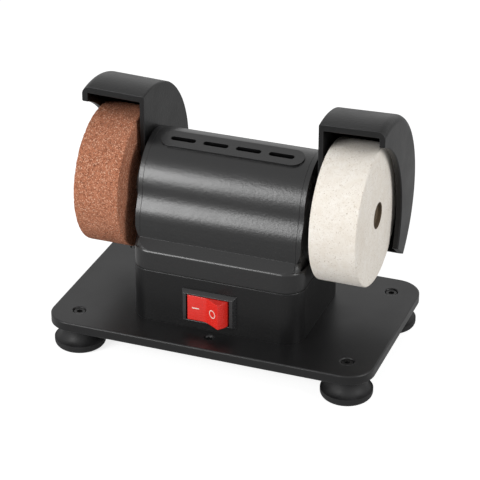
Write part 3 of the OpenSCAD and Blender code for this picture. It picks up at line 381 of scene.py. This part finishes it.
# Upper shell and end covers: the S-shaped top of the housing with its raised vent panel, moulded in one,
# and the two covers that close its ends, carry the bearings and are screwed on from outside. Under its
# swell the moulding drops almost straight, turns out to a sloping deck and rounds over at the deck's edge.
HOUSING_EDGE_WEAR_AND_HIGHLIGHT = (0.022, 0.022, 0.023, 1.0)
DECK_FOOT = 0.102
DECK_LEAN = math.radians(50.0)
DECK_EDGE = 0.003
DECK_TOP_STEPS = 20
SHELL_WALL = 0.0025
SKIRT_TOP = 0.1284
SKIRT_TURN = 0.0007
SKIRT_SETTLES = 5.0
SKIRT_FLARE = 0.0003
SKIRT_ROWS = 30
EDGE_ROWS = 6
CORE_REACH = 0.022
CORE_FADE = 0.012
COVER_SEAM = 0.0721
SEAM_CLOSED = 0.0003
SPINDLE_HEIGHT = 0.142
PLAN_CORNER = 0.018
FACES_INWARD = -0.2
ON_OUTLINE = 0.0002
CUT_CLOSE = 1e-7
NO_LENGTH = 1e-9
plan_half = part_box("housing_base")[1]
edge_low = DECK_FOOT - DECK_EDGE * math.sin(DECK_LEAN)
edge_in = DECK_EDGE * (1.0 - math.cos(DECK_LEAN))
skirt_levels = [DECK_FOOT + (SKIRT_TOP - DECK_FOOT) * i / SKIRT_ROWS for i in range(SKIRT_ROWS + 1)]
edge_levels = [edge_low + DECK_EDGE * math.sin(DECK_LEAN * i / EDGE_ROWS) for i in range(EDGE_ROWS)]


def packed_mesh(name):
    """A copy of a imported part's mesh, open to changes."""
    made = bmesh.new()
    made.from_mesh(parts[name].data)
    bmesh.ops.remove_doubles(made, verts=made.verts, dist=SAME_PLACE)
    return made


def cut_across(made, levels):
    """Cuts a mesh across at each level so that it can take a new outline."""
    for level in levels:
        everything = made.verts[:] + made.edges[:] + made.faces[:]
        bmesh.ops.bisect_plane(made, geom=everything, dist=CUT_CLOSE,
                               plane_co=(0.0, 0.0, level), plane_no=(0.0, 0.0, 1.0))


shell = packed_mesh("housing_shell")
cut_across(shell, skirt_levels + edge_levels)
flare = [(level, max(abs(vert.co.y) for vert in shell.verts if abs(vert.co.z - level) < SAME_PLACE))
         for level in skirt_levels]


def skirt_half(z):
    """Half depth of the skirt at a height."""
    down = (SKIRT_TOP - z) / (SKIRT_TOP - DECK_FOOT)
    turned = SKIRT_TURN * (1.0 - math.exp(-SKIRT_SETTLES * down))
    return flare[-1][1] + turned + SKIRT_FLARE * down * down


def deck_half(z):
    """Half depth of the sloping deck at a height."""
    return flare[0][1] - edge_in - (z - DECK_FOOT) * math.tan(DECK_LEAN)


deck_top = DECK_FOOT
for _ in range(DECK_TOP_STEPS):
    deck_top += (deck_half(deck_top) - skirt_half(deck_top)) / math.tan(DECK_LEAN)


def drawn_in(z):
    """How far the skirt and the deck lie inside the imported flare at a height."""
    if not DECK_FOOT - SAME_PLACE < z < SKIRT_TOP:
        return 0.0
    outline = max(skirt_half(z), deck_half(z))
    for (low, low_half), (high, high_half) in zip(flare, flare[1:]):
        if z <= high:
            packed = low_half + (high_half - low_half) * (z - low) / (high - low)
            return max(0.0, packed - outline)
    return 0.0


def plan_side(x, y):
    """Direction out of the rounded plan at a point, and how far the point lies outside it."""
    over_x = max(0.0, abs(x) - plan_half[0] + PLAN_CORNER)
    over_y = max(0.0, abs(y) - plan_half[1] + PLAN_CORNER)
    reach = math.hypot(over_x, over_y)
    if reach < NO_LENGTH:
        return Vector((0.0, 0.0, 0.0)), -PLAN_CORNER
    return Vector((math.copysign(over_x, x), math.copysign(over_y, y), 0.0)) / reach, reach - PLAN_CORNER


def draw_in(made, walled):
    """Moves the flare of a cut mesh to the skirt and deck, and rounds the deck's edge on a walled mesh."""
    cut_across(made, [deck_top])
    made.normal_update()
    moves = []
    for vert in made.verts:
        x, y, z = vert.co
        out, outside = plan_side(x, y)
        inner = walled and vert.normal.dot(out) < FACES_INWARD
        share = min(1.0, max(0.0, (abs(y) - CORE_REACH) / CORE_FADE))
        move = Vector((0.0, math.copysign(share * drawn_in(z + SHELL_WALL if inner else z), -y), 0.0))
        rise = z - edge_low
        if walled and abs(outside) < ON_OUTLINE and 0.0 < rise < DECK_FOOT - edge_low + SAME_PLACE:
            move = out * (math.sqrt(DECK_EDGE ** 2 - rise ** 2) - DECK_EDGE)
        moves.append(move)
    for vert, move in zip(made.verts, moves):
        vert.co += move


def new_piece(name, made, finish):
    """A piece made of a finished mesh, in one finish."""
    mesh = bpy.data.meshes.new(name)
    made.to_mesh(mesh)
    made.free()
    piece = bpy.data.objects.new(name, mesh)
    bpy.context.scene.collection.objects.link(piece)
    mesh.materials.append(finish)
    return piece


def mould(made, new_name, name, finish):
    """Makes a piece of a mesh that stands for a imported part."""
    piece = new_piece(new_name, made, finish)
    smooth_faces(piece)
    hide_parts(name)
    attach(piece, "frame")


housing_plastic = moulded_finish("housing_plastic", (HOUSING_BLACK, HOUSING_FLOW, HOUSING_EDGE_WEAR_AND_HIGHLIGHT),
                                 gloss=(0.28, 0.33), grain=0.0006, mirror=0.54, edge_round=0.00025)
draw_in(shell, True)
mould(shell, "housing_shell_moulded", "housing_shell", housing_plastic)
for name in ("left_end_cover", "right_end_cover"):
    cover = packed_mesh(name)
    cut_across(cover, skirt_levels)
    draw_in(cover, False)
    for vert in cover.verts:
        off_spindle = math.hypot(vert.co.y, vert.co.z - SPINDLE_HEIGHT)
        if abs(vert.co.x) < COVER_SEAM and off_spindle > CORE_REACH:
            vert.co.x -= math.copysign(SEAM_CLOSED, vert.co.x)
    mould(cover, name + "_moulded", name, housing_plastic)
screws = packed_mesh("cover_screws")
low_screws = [vert for vert in screws.verts if vert.co.z < SKIRT_TOP]
drawn = drawn_in(sum(vert.co.z for vert in low_screws) / len(low_screws))
for vert in low_screws:
    vert.co.y -= math.copysign(drawn, vert.co.y)
mould(screws, "cover_screws_set", "cover_screws", blackened_steel)


# Spindle, bearings and flanges: one turned steel spindle runs through both bearings and the wheels.
# The ground bearing rings are brighter than the turned pieces, and the flanges back the wheels.
turned_steel = metal_finish("turned_steel", colour=(0.47, 0.47, 0.47, 1.0),
                            dull=(0.33, 0.32, 0.31, 1.0), roughness=0.32, marks=(8.0, 0.4, 0.4))
ground_steel = metal_finish("ground_steel", colour=(0.62, 0.63, 0.64, 1.0),
                            dull=(0.54, 0.54, 0.55, 1.0), roughness=0.2, marks=(10.0, 0.3, 0.3))
dress(["spindle", "left_flange", "right_flange"], turned_steel)
dress(["left_bearing_outer", "left_bearing_inner", "left_bearing_balls",
       "right_bearing_outer", "right_bearing_inner", "right_bearing_balls"], ground_steel)


# Guards: two half-open hoods of black nylon round the backs of the wheels.
# Each hangs on three countersunk screws in the end cover and ends in a rounded crescent lip.
GUARD_BLACK = (0.0040, 0.0040, 0.0042, 1.0)
GUARD_FLOW = (0.0055, 0.0055, 0.0057, 1.0)
GUARD_EDGE_WEAR_AND_HIGHLIGHT = (0.05, 0.05, 0.052, 1.0)
guard_plastic = moulded_finish("guard_plastic", (GUARD_BLACK, GUARD_FLOW, GUARD_EDGE_WEAR_AND_HIGHLIGHT),
                               gloss=(0.34, 0.42), grain=0.0007, mirror=0.24, edge_round=0.001)
dress(["left_guard", "right_guard"], guard_plastic)
dress(["guard_screws"], blackened_steel)


# Stone wheel: red-brown aluminium oxide grain, pressed with a clay bond and fired, 125 mm across.
# Its faces and rim are open and gritty, and its edges are broken where grains have fallen out.
WHEEL_RADIUS = 0.0625
WHEEL_INNER_X = 0.0865
WHEEL_OUTER_X = 0.1285
WHEEL_BORE = 0.01152
WHEEL_EDGE = 0.0015
WHEEL_EDGE_STEPS = 5
STONE_STEP = 0.0009
STONE_AROUND = 420
STONE_GRAINS = 620.0
STONE_GRAIN_SUNK = 0.00022
STONE_PORES = 260.0
STONE_PORES_FROM = 0.12
STONE_PORE_SUNK = 0.0005
STONE_WANDER = 60.0
STONE_WANDER_SUNK = 0.00006
STONE_CHIPS = 330.0
STONE_CHIP_SHIFT = Vector((3.0, 1.0, 2.0))
STONE_CHIP_SUNK = 0.0007
STONE_CHIP_REACH = 0.003
STONE_CHIPS_OUTSIDE = 0.0595
STONE_DEEPEST = 0.0008


def wheel_outline(step):
    """Points of a wheel's section as (x, radius, outward x, outward radius), closed round the bore."""
    def run(start, end, out):
        count = max(1, round(math.dist(start, end) / step))
        return [(start[0] + (end[0] - start[0]) * i / count, start[1] + (end[1] - start[1]) * i / count,
                 *out) for i in range(count)]

    def corner(x, turn):
        radius = WHEEL_RADIUS - WHEEL_EDGE
        angles = [math.radians(turn + 90.0 / WHEEL_EDGE_STEPS * i) for i in range(WHEEL_EDGE_STEPS)]
        return [(x + WHEEL_EDGE * math.sin(a), radius + WHEEL_EDGE * math.cos(a), math.sin(a), math.cos(a))
                for a in angles]

    low, high, rim = WHEEL_INNER_X, WHEEL_OUTER_X, WHEEL_RADIUS
    return (run((low, WHEEL_BORE), (low, rim - WHEEL_EDGE), (-1.0, 0.0))
            + corner(low + WHEEL_EDGE, -90.0)
            + run((low + WHEEL_EDGE, rim), (high - WHEEL_EDGE, rim), (0.0, 1.0))
            + corner(high - WHEEL_EDGE, 0.0)
            + run((high, rim - WHEEL_EDGE), (high, WHEEL_BORE), (1.0, 0.0))
            + run((high, WHEEL_BORE), (low, WHEEL_BORE), (0.0, -1.0)))


def turn_wheel(name, side, step, around, worn_by, finish):
    """A wheel turned from its outline, each point outside the bore sunk as deep as worn_by says."""
    outline = wheel_outline(step)
    made = bmesh.new()
    rings = []
    for i in range(around):
        angle = 2.0 * math.pi * i / around
        ring = []
        for x, radius, out_x, out_r in outline:
            spot = Vector((side * x, radius * math.cos(angle), radius * math.sin(angle)))
            sunk = worn_by(spot, radius, x) if out_r >= 0.0 else 0.0
            radius_cut = radius - out_r * sunk
            ring.append(made.verts.new((side * (x - out_x * sunk), radius_cut * math.cos(angle),
                                        SPINDLE_HEIGHT + radius_cut * math.sin(angle))))
        rings.append(ring)
    count = len(outline)
    for i in range(around):
        here, there = rings[i], rings[(i + 1) % around]
        for j in range(count):
            k = (j + 1) % count
            face = made.faces.new((here[j], here[k], there[k], there[j]))
            face.smooth = True
    bmesh.ops.recalc_face_normals(made, faces=made.faces)
    return new_piece(name, made, finish)


def stone_wear(spot, radius, x):
    """Depth of a pore or a lost grain in the stone."""
    grains = noise.voronoi(spot * STONE_GRAINS)[0][0]
    pores = max(0.0, noise.noise(spot * STONE_PORES) - STONE_PORES_FROM)
    wander = 0.5 + 0.5 * noise.noise(spot * STONE_WANDER)
    chips = 0.0
    if radius > STONE_CHIPS_OUTSIDE:
        to_edge = min(abs(x - WHEEL_INNER_X), abs(x - WHEEL_OUTER_X))
        near_edge = max(0.0, 1.0 - to_edge / STONE_CHIP_REACH)
        chips = near_edge * max(0.0, noise.noise(spot * STONE_CHIPS + STONE_CHIP_SHIFT))
    return min(STONE_DEEPEST, STONE_GRAIN_SUNK * grains + STONE_PORE_SUNK * pores
               + STONE_WANDER_SUNK * wander + STONE_CHIP_SUNK * chips)


STONE_DARK = (0.17, 0.058, 0.030, 1.0)
STONE_RED = (0.40, 0.148, 0.078, 1.0)
STONE_PINK = (0.50, 0.215, 0.125, 1.0)
STONE_PALE = (0.70, 0.42, 0.29, 1.0)
STONE_GRITS = 1250.0
STONE_FINE = 0.0011
STONE_FINE_DEPTH = 0.0005
STONE_GRIT_DEPTH = 0.0004
STONE_PORE_MOST = 0.75
STONE_WORN = 0.012
STONE_WORN_MOST = 0.35
STONE_ROUGH = 0.92
STONE_MIRROR = 0.25
fired_stone, tree, shader, place = new_finish("fired_stone")
grain = add_node(tree, "TexVoronoi", {"feature": "F1"}, {
    "Vector": place, "Scale": STONE_GRITS, "Randomness": 1.0})
tint = add_node(tree, "SeparateColor", None, {"Color": grain.outputs["Color"]}).outputs[0]
grit = add_node(tree, "ValToRGB", None, {"Fac": tint})
grit.color_ramp.elements[0].color = STONE_DARK
grit.color_ramp.elements[1].color = STONE_PALE
for spot_at, colour in ((0.24, STONE_RED), (0.58, STONE_RED), (0.82, STONE_PINK)):
    grit.color_ramp.elements.new(spot_at).color = colour
fine = clouds(tree, place, STONE_FINE, detail=4.0, roughness=0.75)
pores = between(tree, fine, 0.48, 0.38)
tone = blend_colours(tree, up_to(tree, pores, STONE_PORE_MOST), grit.outputs["Color"], STONE_DARK)
worn = between(tree, clouds(tree, place, STONE_WORN, detail=3.0), 0.4, 0.75, 0.0, STONE_WORN_MOST)
tone = blend_colours(tree, worn, tone, STONE_PINK)
height = between(tree, grain.outputs["Distance"], 0.0, 0.7, 1.0, 0.0)
rough_face = relief(tree, height, STONE_GRIT_DEPTH, strength=0.85)
rough_face = relief(tree, fine, STONE_FINE_DEPTH, strength=0.8, under=rough_face)
set_finish(tree, shader, tone, STONE_ROUGH, rough_face, STONE_MIRROR)

stone = turn_wheel("stone_wheel_fired", -1, STONE_STEP, STONE_AROUND, stone_wear, fired_stone)
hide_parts("stone_wheel")
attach(stone, "spindle_assembly")


# Felt wheel: pressed wool felt, cut to 125 mm and ground flat, with darker fibres left in the wool.
# Its skin is fuzzy and a little uneven, its edges are soft, and the wall of its bore is painted dark brown
# as painted shade.
FELT_CREAM = (0.79, 0.735, 0.655, 1.0)
FELT_WARM = (0.70, 0.63, 0.54, 1.0)
FELT_WHITE = (0.86, 0.82, 0.76, 1.0)
FELT_FLECK = (0.33, 0.235, 0.145, 1.0)
FELT_BORE_SHADE = (0.115, 0.083, 0.053, 1.0)
FELT_STEP = 0.0011
FELT_AROUND = 360
FELT_TUFTS = 420.0
FELT_TUFT_SUNK = 0.00012
FELT_HOLLOWS = 90.0
FELT_HOLLOW_SHIFT = Vector((5.0, 2.0, 1.0))
FELT_HOLLOW_SUNK = 0.00018
FELT_MATTED = 0.0035
FELT_MATTED_DEPTH = 0.0004
FELT_WASHED = 0.02
FELT_WASHED_MOST = 0.45
FELT_FIBRE = 0.0006
FELT_FIBRE_LIES = (1.0, 0.45, 1.0)
FELT_FIBRE_MOST = 0.55
FELT_FIBRE_DEPTH = 0.0003
FELT_MOTTLE = 0.0013
FELT_MOTTLE_MOST = 0.28
FELT_STRAND = 0.0006
FELT_STRAND_LIES = (1.0, 0.6, 0.8)
FELT_PATCH = 0.007
FELT_FLECK_MOST = 0.62
FELT_ROUGH = 0.95
FELT_MIRROR = 0.2
FELT_SHEEN = 0.12
FELT_SHEEN_ROUGH = 0.5
BORE_SHADE_REACH = (0.0004, 0.0001)


def felt_wear(spot, radius, x):
    """Depth of the hollows between the matted fibres."""
    tufts = 0.5 + 0.5 * noise.noise(spot * FELT_TUFTS)
    hollows = 0.5 + 0.5 * noise.noise(spot * FELT_HOLLOWS + FELT_HOLLOW_SHIFT)
    return FELT_TUFT_SUNK * tufts + FELT_HOLLOW_SUNK * hollows


wool_felt, tree, shader, place = new_finish("wool_felt")
matted = clouds(tree, place, FELT_MATTED, detail=4.0)
washed = clouds(tree, place, FELT_WASHED, detail=3.0)
fibres = clouds(tree, place, FELT_FIBRE, detail=3.0, stretch=FELT_FIBRE_LIES, roughness=0.7)
tone = blend_colours(tree, between(tree, matted, 0.3, 0.7), FELT_CREAM, FELT_WHITE)
tone = blend_colours(tree, between(tree, washed, 0.45, 0.75, 0.0, FELT_WASHED_MOST), tone, FELT_WARM)
tone = blend_colours(tree, between(tree, fibres, 0.48, 0.32, 0.0, FELT_FIBRE_MOST), tone, FELT_WARM)
mottle = between(tree, clouds(tree, place, FELT_MOTTLE, detail=4.0, roughness=0.75), 0.55, 0.75)
tone = blend_colours(tree, up_to(tree, mottle, FELT_MOTTLE_MOST), tone, FELT_FLECK)
strands = clouds(tree, place, FELT_STRAND, detail=3.0, stretch=FELT_STRAND_LIES, roughness=0.6)
strands = between(tree, strands, 0.60, 0.67)
patches = between(tree, clouds(tree, place, FELT_PATCH, detail=2.0), 0.36, 0.56)
fleck = add_node(tree, "Math", {"operation": "MULTIPLY"}, {0: strands, 1: patches}).outputs[0]
tone = blend_colours(tree, up_to(tree, fleck, FELT_FLECK_MOST), tone, FELT_FLECK)
# The wall of the bore is painted dark brown: painted shade inside the bore.
off_axis = add_node(tree, "Mapping", None, {
    "Vector": place, "Location": (0.0, 0.0, -SPINDLE_HEIGHT), "Scale": (0.0, 1.0, 1.0)}).outputs["Vector"]
radius = add_node(tree, "VectorMath", {"operation": "LENGTH"}, {0: off_axis}).outputs["Value"]
bore_shade = between(tree, radius, WHEEL_BORE + BORE_SHADE_REACH[0], WHEEL_BORE + BORE_SHADE_REACH[1])
tone = blend_colours(tree, bore_shade, tone, FELT_BORE_SHADE)
nap = relief(tree, matted, FELT_MATTED_DEPTH, strength=0.5)
nap = relief(tree, fibres, FELT_FIBRE_DEPTH, strength=0.7, under=nap)
set_finish(tree, shader, tone, FELT_ROUGH, nap, FELT_MIRROR)
shader.inputs["Sheen Weight"].default_value = FELT_SHEEN
shader.inputs["Sheen Roughness"].default_value = FELT_SHEEN_ROUGH

felt = turn_wheel("felt_wheel_pressed", 1, FELT_STEP, FELT_AROUND, felt_wear, wool_felt)
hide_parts("felt_wheel")
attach(felt, "spindle_assembly")


# Hubs: bushes of brown pressed fibre, glued into the wheels' bores and bored from inside for the spindle.
# They are closed at their outer ends, three millimetres inside the wheels' faces.
HUB_BROWN = (0.105, 0.076, 0.048, 1.0)
HUB_DARK = (0.066, 0.048, 0.031, 1.0)
HUB_LAYER = 0.0009
HUB_LAYER_DEPTH = 0.0002
HUB_ROUGH = 0.8
HUB_MIRROR = 0.2
hub_fibre, tree, shader, place = new_finish("hub_fibre")
layers = clouds(tree, place, HUB_LAYER, detail=4.0, roughness=0.65)
tone = blend_colours(tree, between(tree, layers, 0.3, 0.7), HUB_BROWN, HUB_DARK)
set_finish(tree, shader, tone, HUB_ROUGH, relief(tree, layers, HUB_LAYER_DEPTH, strength=0.5), HUB_MIRROR)
dress(["left_hub", "right_hub"], hub_fibre)


# Switch: a polished black frame that snaps into the front wall, and a red rocker on two pins in it.
# A cream bar and a cream ring are printed on the rocker's two halves; brass tabs stick out behind.
SWITCH_BLACK = (0.012, 0.012, 0.0125, 1.0)
SWITCH_BLACK_WORN = (0.024, 0.024, 0.025, 1.0)
ROCKER_RED = (0.74, 0.030, 0.020, 1.0)
ROCKER_DEEP = (0.64, 0.016, 0.010, 1.0)
DRIFT_SIZE = 0.006
DRIFT_DEPTH = 0.00008
SCRATCH_SIZE = 0.0006
SCRATCH_STRETCH = (0.15, 1.0, 1.0)
SCRATCH_DULLS = 0.14
POLISHED_EDGE = 0.0007


def polished_finish(name, colour, deep, roughness):
    """Polished moulded plastic with a little colour drift and hairline scratches."""
    finish, tree, shader, place = new_finish(name)
    drift = clouds(tree, place, DRIFT_SIZE, detail=3.0)
    scratches = clouds(tree, place, SCRATCH_SIZE, detail=4.0, stretch=SCRATCH_STRETCH, roughness=0.7)
    gloss = between(tree, scratches, 0.4, 0.75, roughness, roughness + SCRATCH_DULLS)
    skin = relief(tree, drift, DRIFT_DEPTH, strength=0.25, under=rounded_edges(tree, POLISHED_EDGE))
    set_finish(tree, shader, blend_colours(tree, drift, colour, deep), gloss, skin)
    return finish


frame_plastic = polished_finish("switch_frame_plastic", SWITCH_BLACK, SWITCH_BLACK_WORN, roughness=0.26)
rocker_plastic = polished_finish("rocker_plastic", ROCKER_RED, ROCKER_DEEP, roughness=0.22)
tab_brass = metal_finish("tab_brass", colour=(0.66, 0.47, 0.19, 1.0),
                         dull=(0.50, 0.34, 0.13, 1.0), roughness=0.3, marks=(1.0, 0.2, 1.0))
dress(["switch_frame"], frame_plastic)
dress(["switch_rocker"], rocker_plastic)
dress(["switch_tabs"], tab_brass)

PIVOT = Vector((-0.0035, -0.0575, 0.056))
PIVOT_DEPTH = 0.006
ROCKER_SLOPE = math.radians(16.0)
MARK_OUT = 0.0094
MARK_SUNK = -0.0001
MARK_PROUD = 0.00012
MARK_CREAM = (0.78, 0.70, 0.62, 1.0)
MARK_THIN = (0.78, 0.55, 0.48, 1.0)
MARK_BLOTCH = 0.0005
MARK_THIN_MOST = 0.35
MARK_GLOSS = (0.34, 0.46)
BAR_SIZE = (0.0068, 0.0010)
RING_OUTSIDE = (0.0082, 0.0077)
RING_INSIDE = (0.0066, 0.0061)
mark_paint, tree, shader, place = new_finish("mark_paint")
thin = clouds(tree, place, MARK_BLOTCH, detail=3.0)
tone = blend_colours(tree, between(tree, thin, 0.5, 0.75, 0.0, MARK_THIN_MOST), MARK_CREAM, MARK_THIN)
set_finish(tree, shader, tone, between(tree, thin, 0.3, 0.7, *MARK_GLOSS))


def printed_mark(name, outer, inner, side):
    """A thin printed pad between two outlines, laid on the rocker's left (-1) or right (1) half."""
    valley = PIVOT + Matrix.Rotation(-ROCKER_SLOPE, 3, "Z") @ Vector((0.0, -PIVOT_DEPTH, 0.0))
    lean = 2.0 * ROCKER_SLOPE if side > 0 else 0.0
    along = Vector((side * math.cos(lean), -math.sin(lean), 0.0))
    out = Vector((-math.sin(lean), -math.cos(lean), 0.0))
    middle = valley + along * MARK_OUT
    lines = (outer, inner) if inner else (outer,)
    made = bmesh.new()
    layers = []
    for proud in (MARK_SUNK, MARK_PROUD):
        level = middle + out * proud
        layers.append([[made.verts.new(level + along * (side * u) + Vector((0.0, 0.0, v))) for u, v in line]
                       for line in lines])
    count = len(outer)
    for i in range(count):
        j = (i + 1) % count
        for low, top in zip(*layers):
            made.faces.new((low[i], low[j], top[j], top[i]))
        if inner:
            for layer in layers:
                made.faces.new((layer[0][i], layer[0][j], layer[1][j], layer[1][i]))
    if not inner:
        for layer in layers:
            made.faces.new(layer[0])
    bmesh.ops.recalc_face_normals(made, faces=made.faces)
    mark = new_piece(name, made, mark_paint)
    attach(mark, "rocker")


def oval(width, height, points=40):
    """An oval outline round its middle."""
    angles = [2.0 * math.pi * i / points for i in range(points)]
    return [(0.5 * width * math.cos(a), 0.5 * height * math.sin(a)) for a in angles]


def stadium(length, height, points=8):
    """An outline of a bar with round ends."""
    r = 0.5 * height
    half = 0.5 * length - r
    return [(sx * half + r * math.cos(a), r * math.sin(a))
            for sx, start in ((1, -90.0), (-1, 90.0))
            for a in (math.radians(start + 180.0 * i / points) for i in range(points + 1))]


printed_mark("rocker_mark_on", stadium(*BAR_SIZE), None, -1)
printed_mark("rocker_mark_off", oval(*RING_OUTSIDE), oval(*RING_INSIDE), 1)


# Cord gland: a black nylon gland with a hexagon collar, screwed through the back wall
# and held by a locknut inside; its bore is ready for a supply cord.
GLAND_BLACK = (0.014, 0.014, 0.0145, 1.0)
GLAND_WORN = (0.022, 0.022, 0.023, 1.0)
gland_nylon = polished_finish("gland_nylon", GLAND_BLACK, GLAND_WORN, roughness=0.4)
dress(["cord_gland", "gland_locknut"], gland_nylon)


# Studio: a white table that runs out of sight, white walls all round, a wide softbox at the front left
# and a weaker one at the right. The table catches the grinder's shadow.
TABLE_SIZE = 12.0
TABLE_GREY = (0.5, 0.5, 0.5, 1.0)
TABLE_ROUGH = 0.9
TABLE_LIFT = 0.80
TABLE_IN_GLOSS = 0.32
WHITE = (1.0, 1.0, 1.0, 1.0)
WALLS_LIGHT = 0.28
WALLS_SEEN = 1.0
LAMP_AIM = Vector((0.0, 0.0, 0.12))


def seen_directly(tree, in_gloss):
    """1 for a straight or see-through look, in_gloss for one in a gloss, 0 for light on dull faces."""
    rays = add_node(tree, "LightPath").outputs
    gloss = up_to(tree, rays["Is Glossy Ray"], in_gloss)
    first = add_node(tree, "Math", {"operation": "MAXIMUM"}, {
        0: rays["Is Camera Ray"], 1: gloss}).outputs[0]
    return add_node(tree, "Math", {"operation": "MAXIMUM"}, {
        0: first, 1: rays["Is Transmission Ray"]}).outputs[0]


table_mesh = bpy.data.meshes.new("table_top")
half = 0.5 * TABLE_SIZE
corners = [(-half, -half, 0.0), (half, -half, 0.0), (half, half, 0.0), (-half, half, 0.0)]
table_mesh.from_pydata(corners, [], [(0, 1, 2, 3)])
table = bpy.data.objects.new("table_top", table_mesh)
bpy.context.scene.collection.objects.link(table)
table_white, tree, shader, place = new_finish("table_white")
set_finish(tree, shader, TABLE_GREY, TABLE_ROUGH, mirror=0.0)
lift = add_node(tree, "Emission", None, {
    "Color": WHITE, "Strength": up_to(tree, seen_directly(tree, TABLE_IN_GLOSS), TABLE_LIFT)})
both = add_node(tree, "AddShader", None, {0: shader.outputs[0], 1: lift.outputs[0]})
tree.links.new(both.outputs[0], tree.nodes["Material Output"].inputs["Surface"])
table.data.materials.append(table_white)

walls = bpy.data.worlds.new("white_walls")
walls.use_nodes = True
bpy.context.scene.world = walls
tree = walls.node_tree
back_light = tree.nodes["Background"]
back_light.inputs["Color"].default_value = WHITE
strength = between(tree, seen_directly(tree, 1.0), 0.0, 1.0, WALLS_LIGHT, WALLS_SEEN)
tree.links.new(strength, back_light.inputs["Strength"])


def softbox(name, azimuth, elevation, distance, width, height, power):
    """An area lamp that looks at the grinder from an azimuth and an elevation in degrees."""
    a, e = math.radians(azimuth), math.radians(elevation)
    back = Vector((math.sin(a) * math.cos(e), -math.cos(a) * math.cos(e), math.sin(e)))
    lamp = bpy.data.lights.new(name, "AREA")
    lamp.shape = "RECTANGLE"
    lamp.size = width
    lamp.size_y = height
    lamp.energy = power
    holder = bpy.data.objects.new(name, lamp)
    bpy.context.scene.collection.objects.link(holder)
    holder.location = LAMP_AIM + back * distance
    holder.rotation_euler = back.to_track_quat("Z", "Y").to_euler()


softbox("front_left_softbox", azimuth=-30.0, elevation=19.0, distance=1.6,
        width=0.84, height=0.74, power=21.5)
softbox("right_softbox", azimuth=80.0, elevation=26.0, distance=1.8,
        width=0.9, height=0.9, power=17.5)


# Camera: a long lens from the front right and above, so that the edges hardly converge.
# It stands where the lines of the real grinder give the same picture.
CAMERA_AZIMUTH = math.radians(20.41)
CAMERA_ELEVATION = math.radians(27.74)
CAMERA_ROLL = math.radians(0.13)
CAMERA_AIM = Vector((-0.0019, 0.0130, 0.0879))
CAMERA_DISTANCE = 1.8521
FOCAL_PIXELS = 2080.2
PICTURE_PIXELS = 480.0
SENSOR_WIDTH = 36.0
NEAREST_SEEN = 0.05
FURTHEST_SEEN = 60.0

lens = bpy.data.cameras.new("camera")
lens.sensor_width = SENSOR_WIDTH
lens.lens = FOCAL_PIXELS / PICTURE_PIXELS * SENSOR_WIDTH
lens.clip_start = NEAREST_SEEN
lens.clip_end = FURTHEST_SEEN
camera = bpy.data.objects.new("camera", lens)
bpy.context.scene.collection.objects.link(camera)
back = Vector((math.sin(CAMERA_AZIMUTH) * math.cos(CAMERA_ELEVATION),
               -math.cos(CAMERA_AZIMUTH) * math.cos(CAMERA_ELEVATION), math.sin(CAMERA_ELEVATION)))
level = Vector((0.0, 0.0, 1.0)).cross(back).normalized()
upright = back.cross(level)
right = level * math.cos(CAMERA_ROLL) + upright * math.sin(CAMERA_ROLL)
up = upright * math.cos(CAMERA_ROLL) - level * math.sin(CAMERA_ROLL)
turn = Matrix((right, up, back)).transposed().to_4x4()
camera.matrix_world = Matrix.Translation(CAMERA_AIM + back * CAMERA_DISTANCE) @ turn
bpy.context.scene.camera = camera
bpy.context.scene.view_settings.view_transform = "Standard"
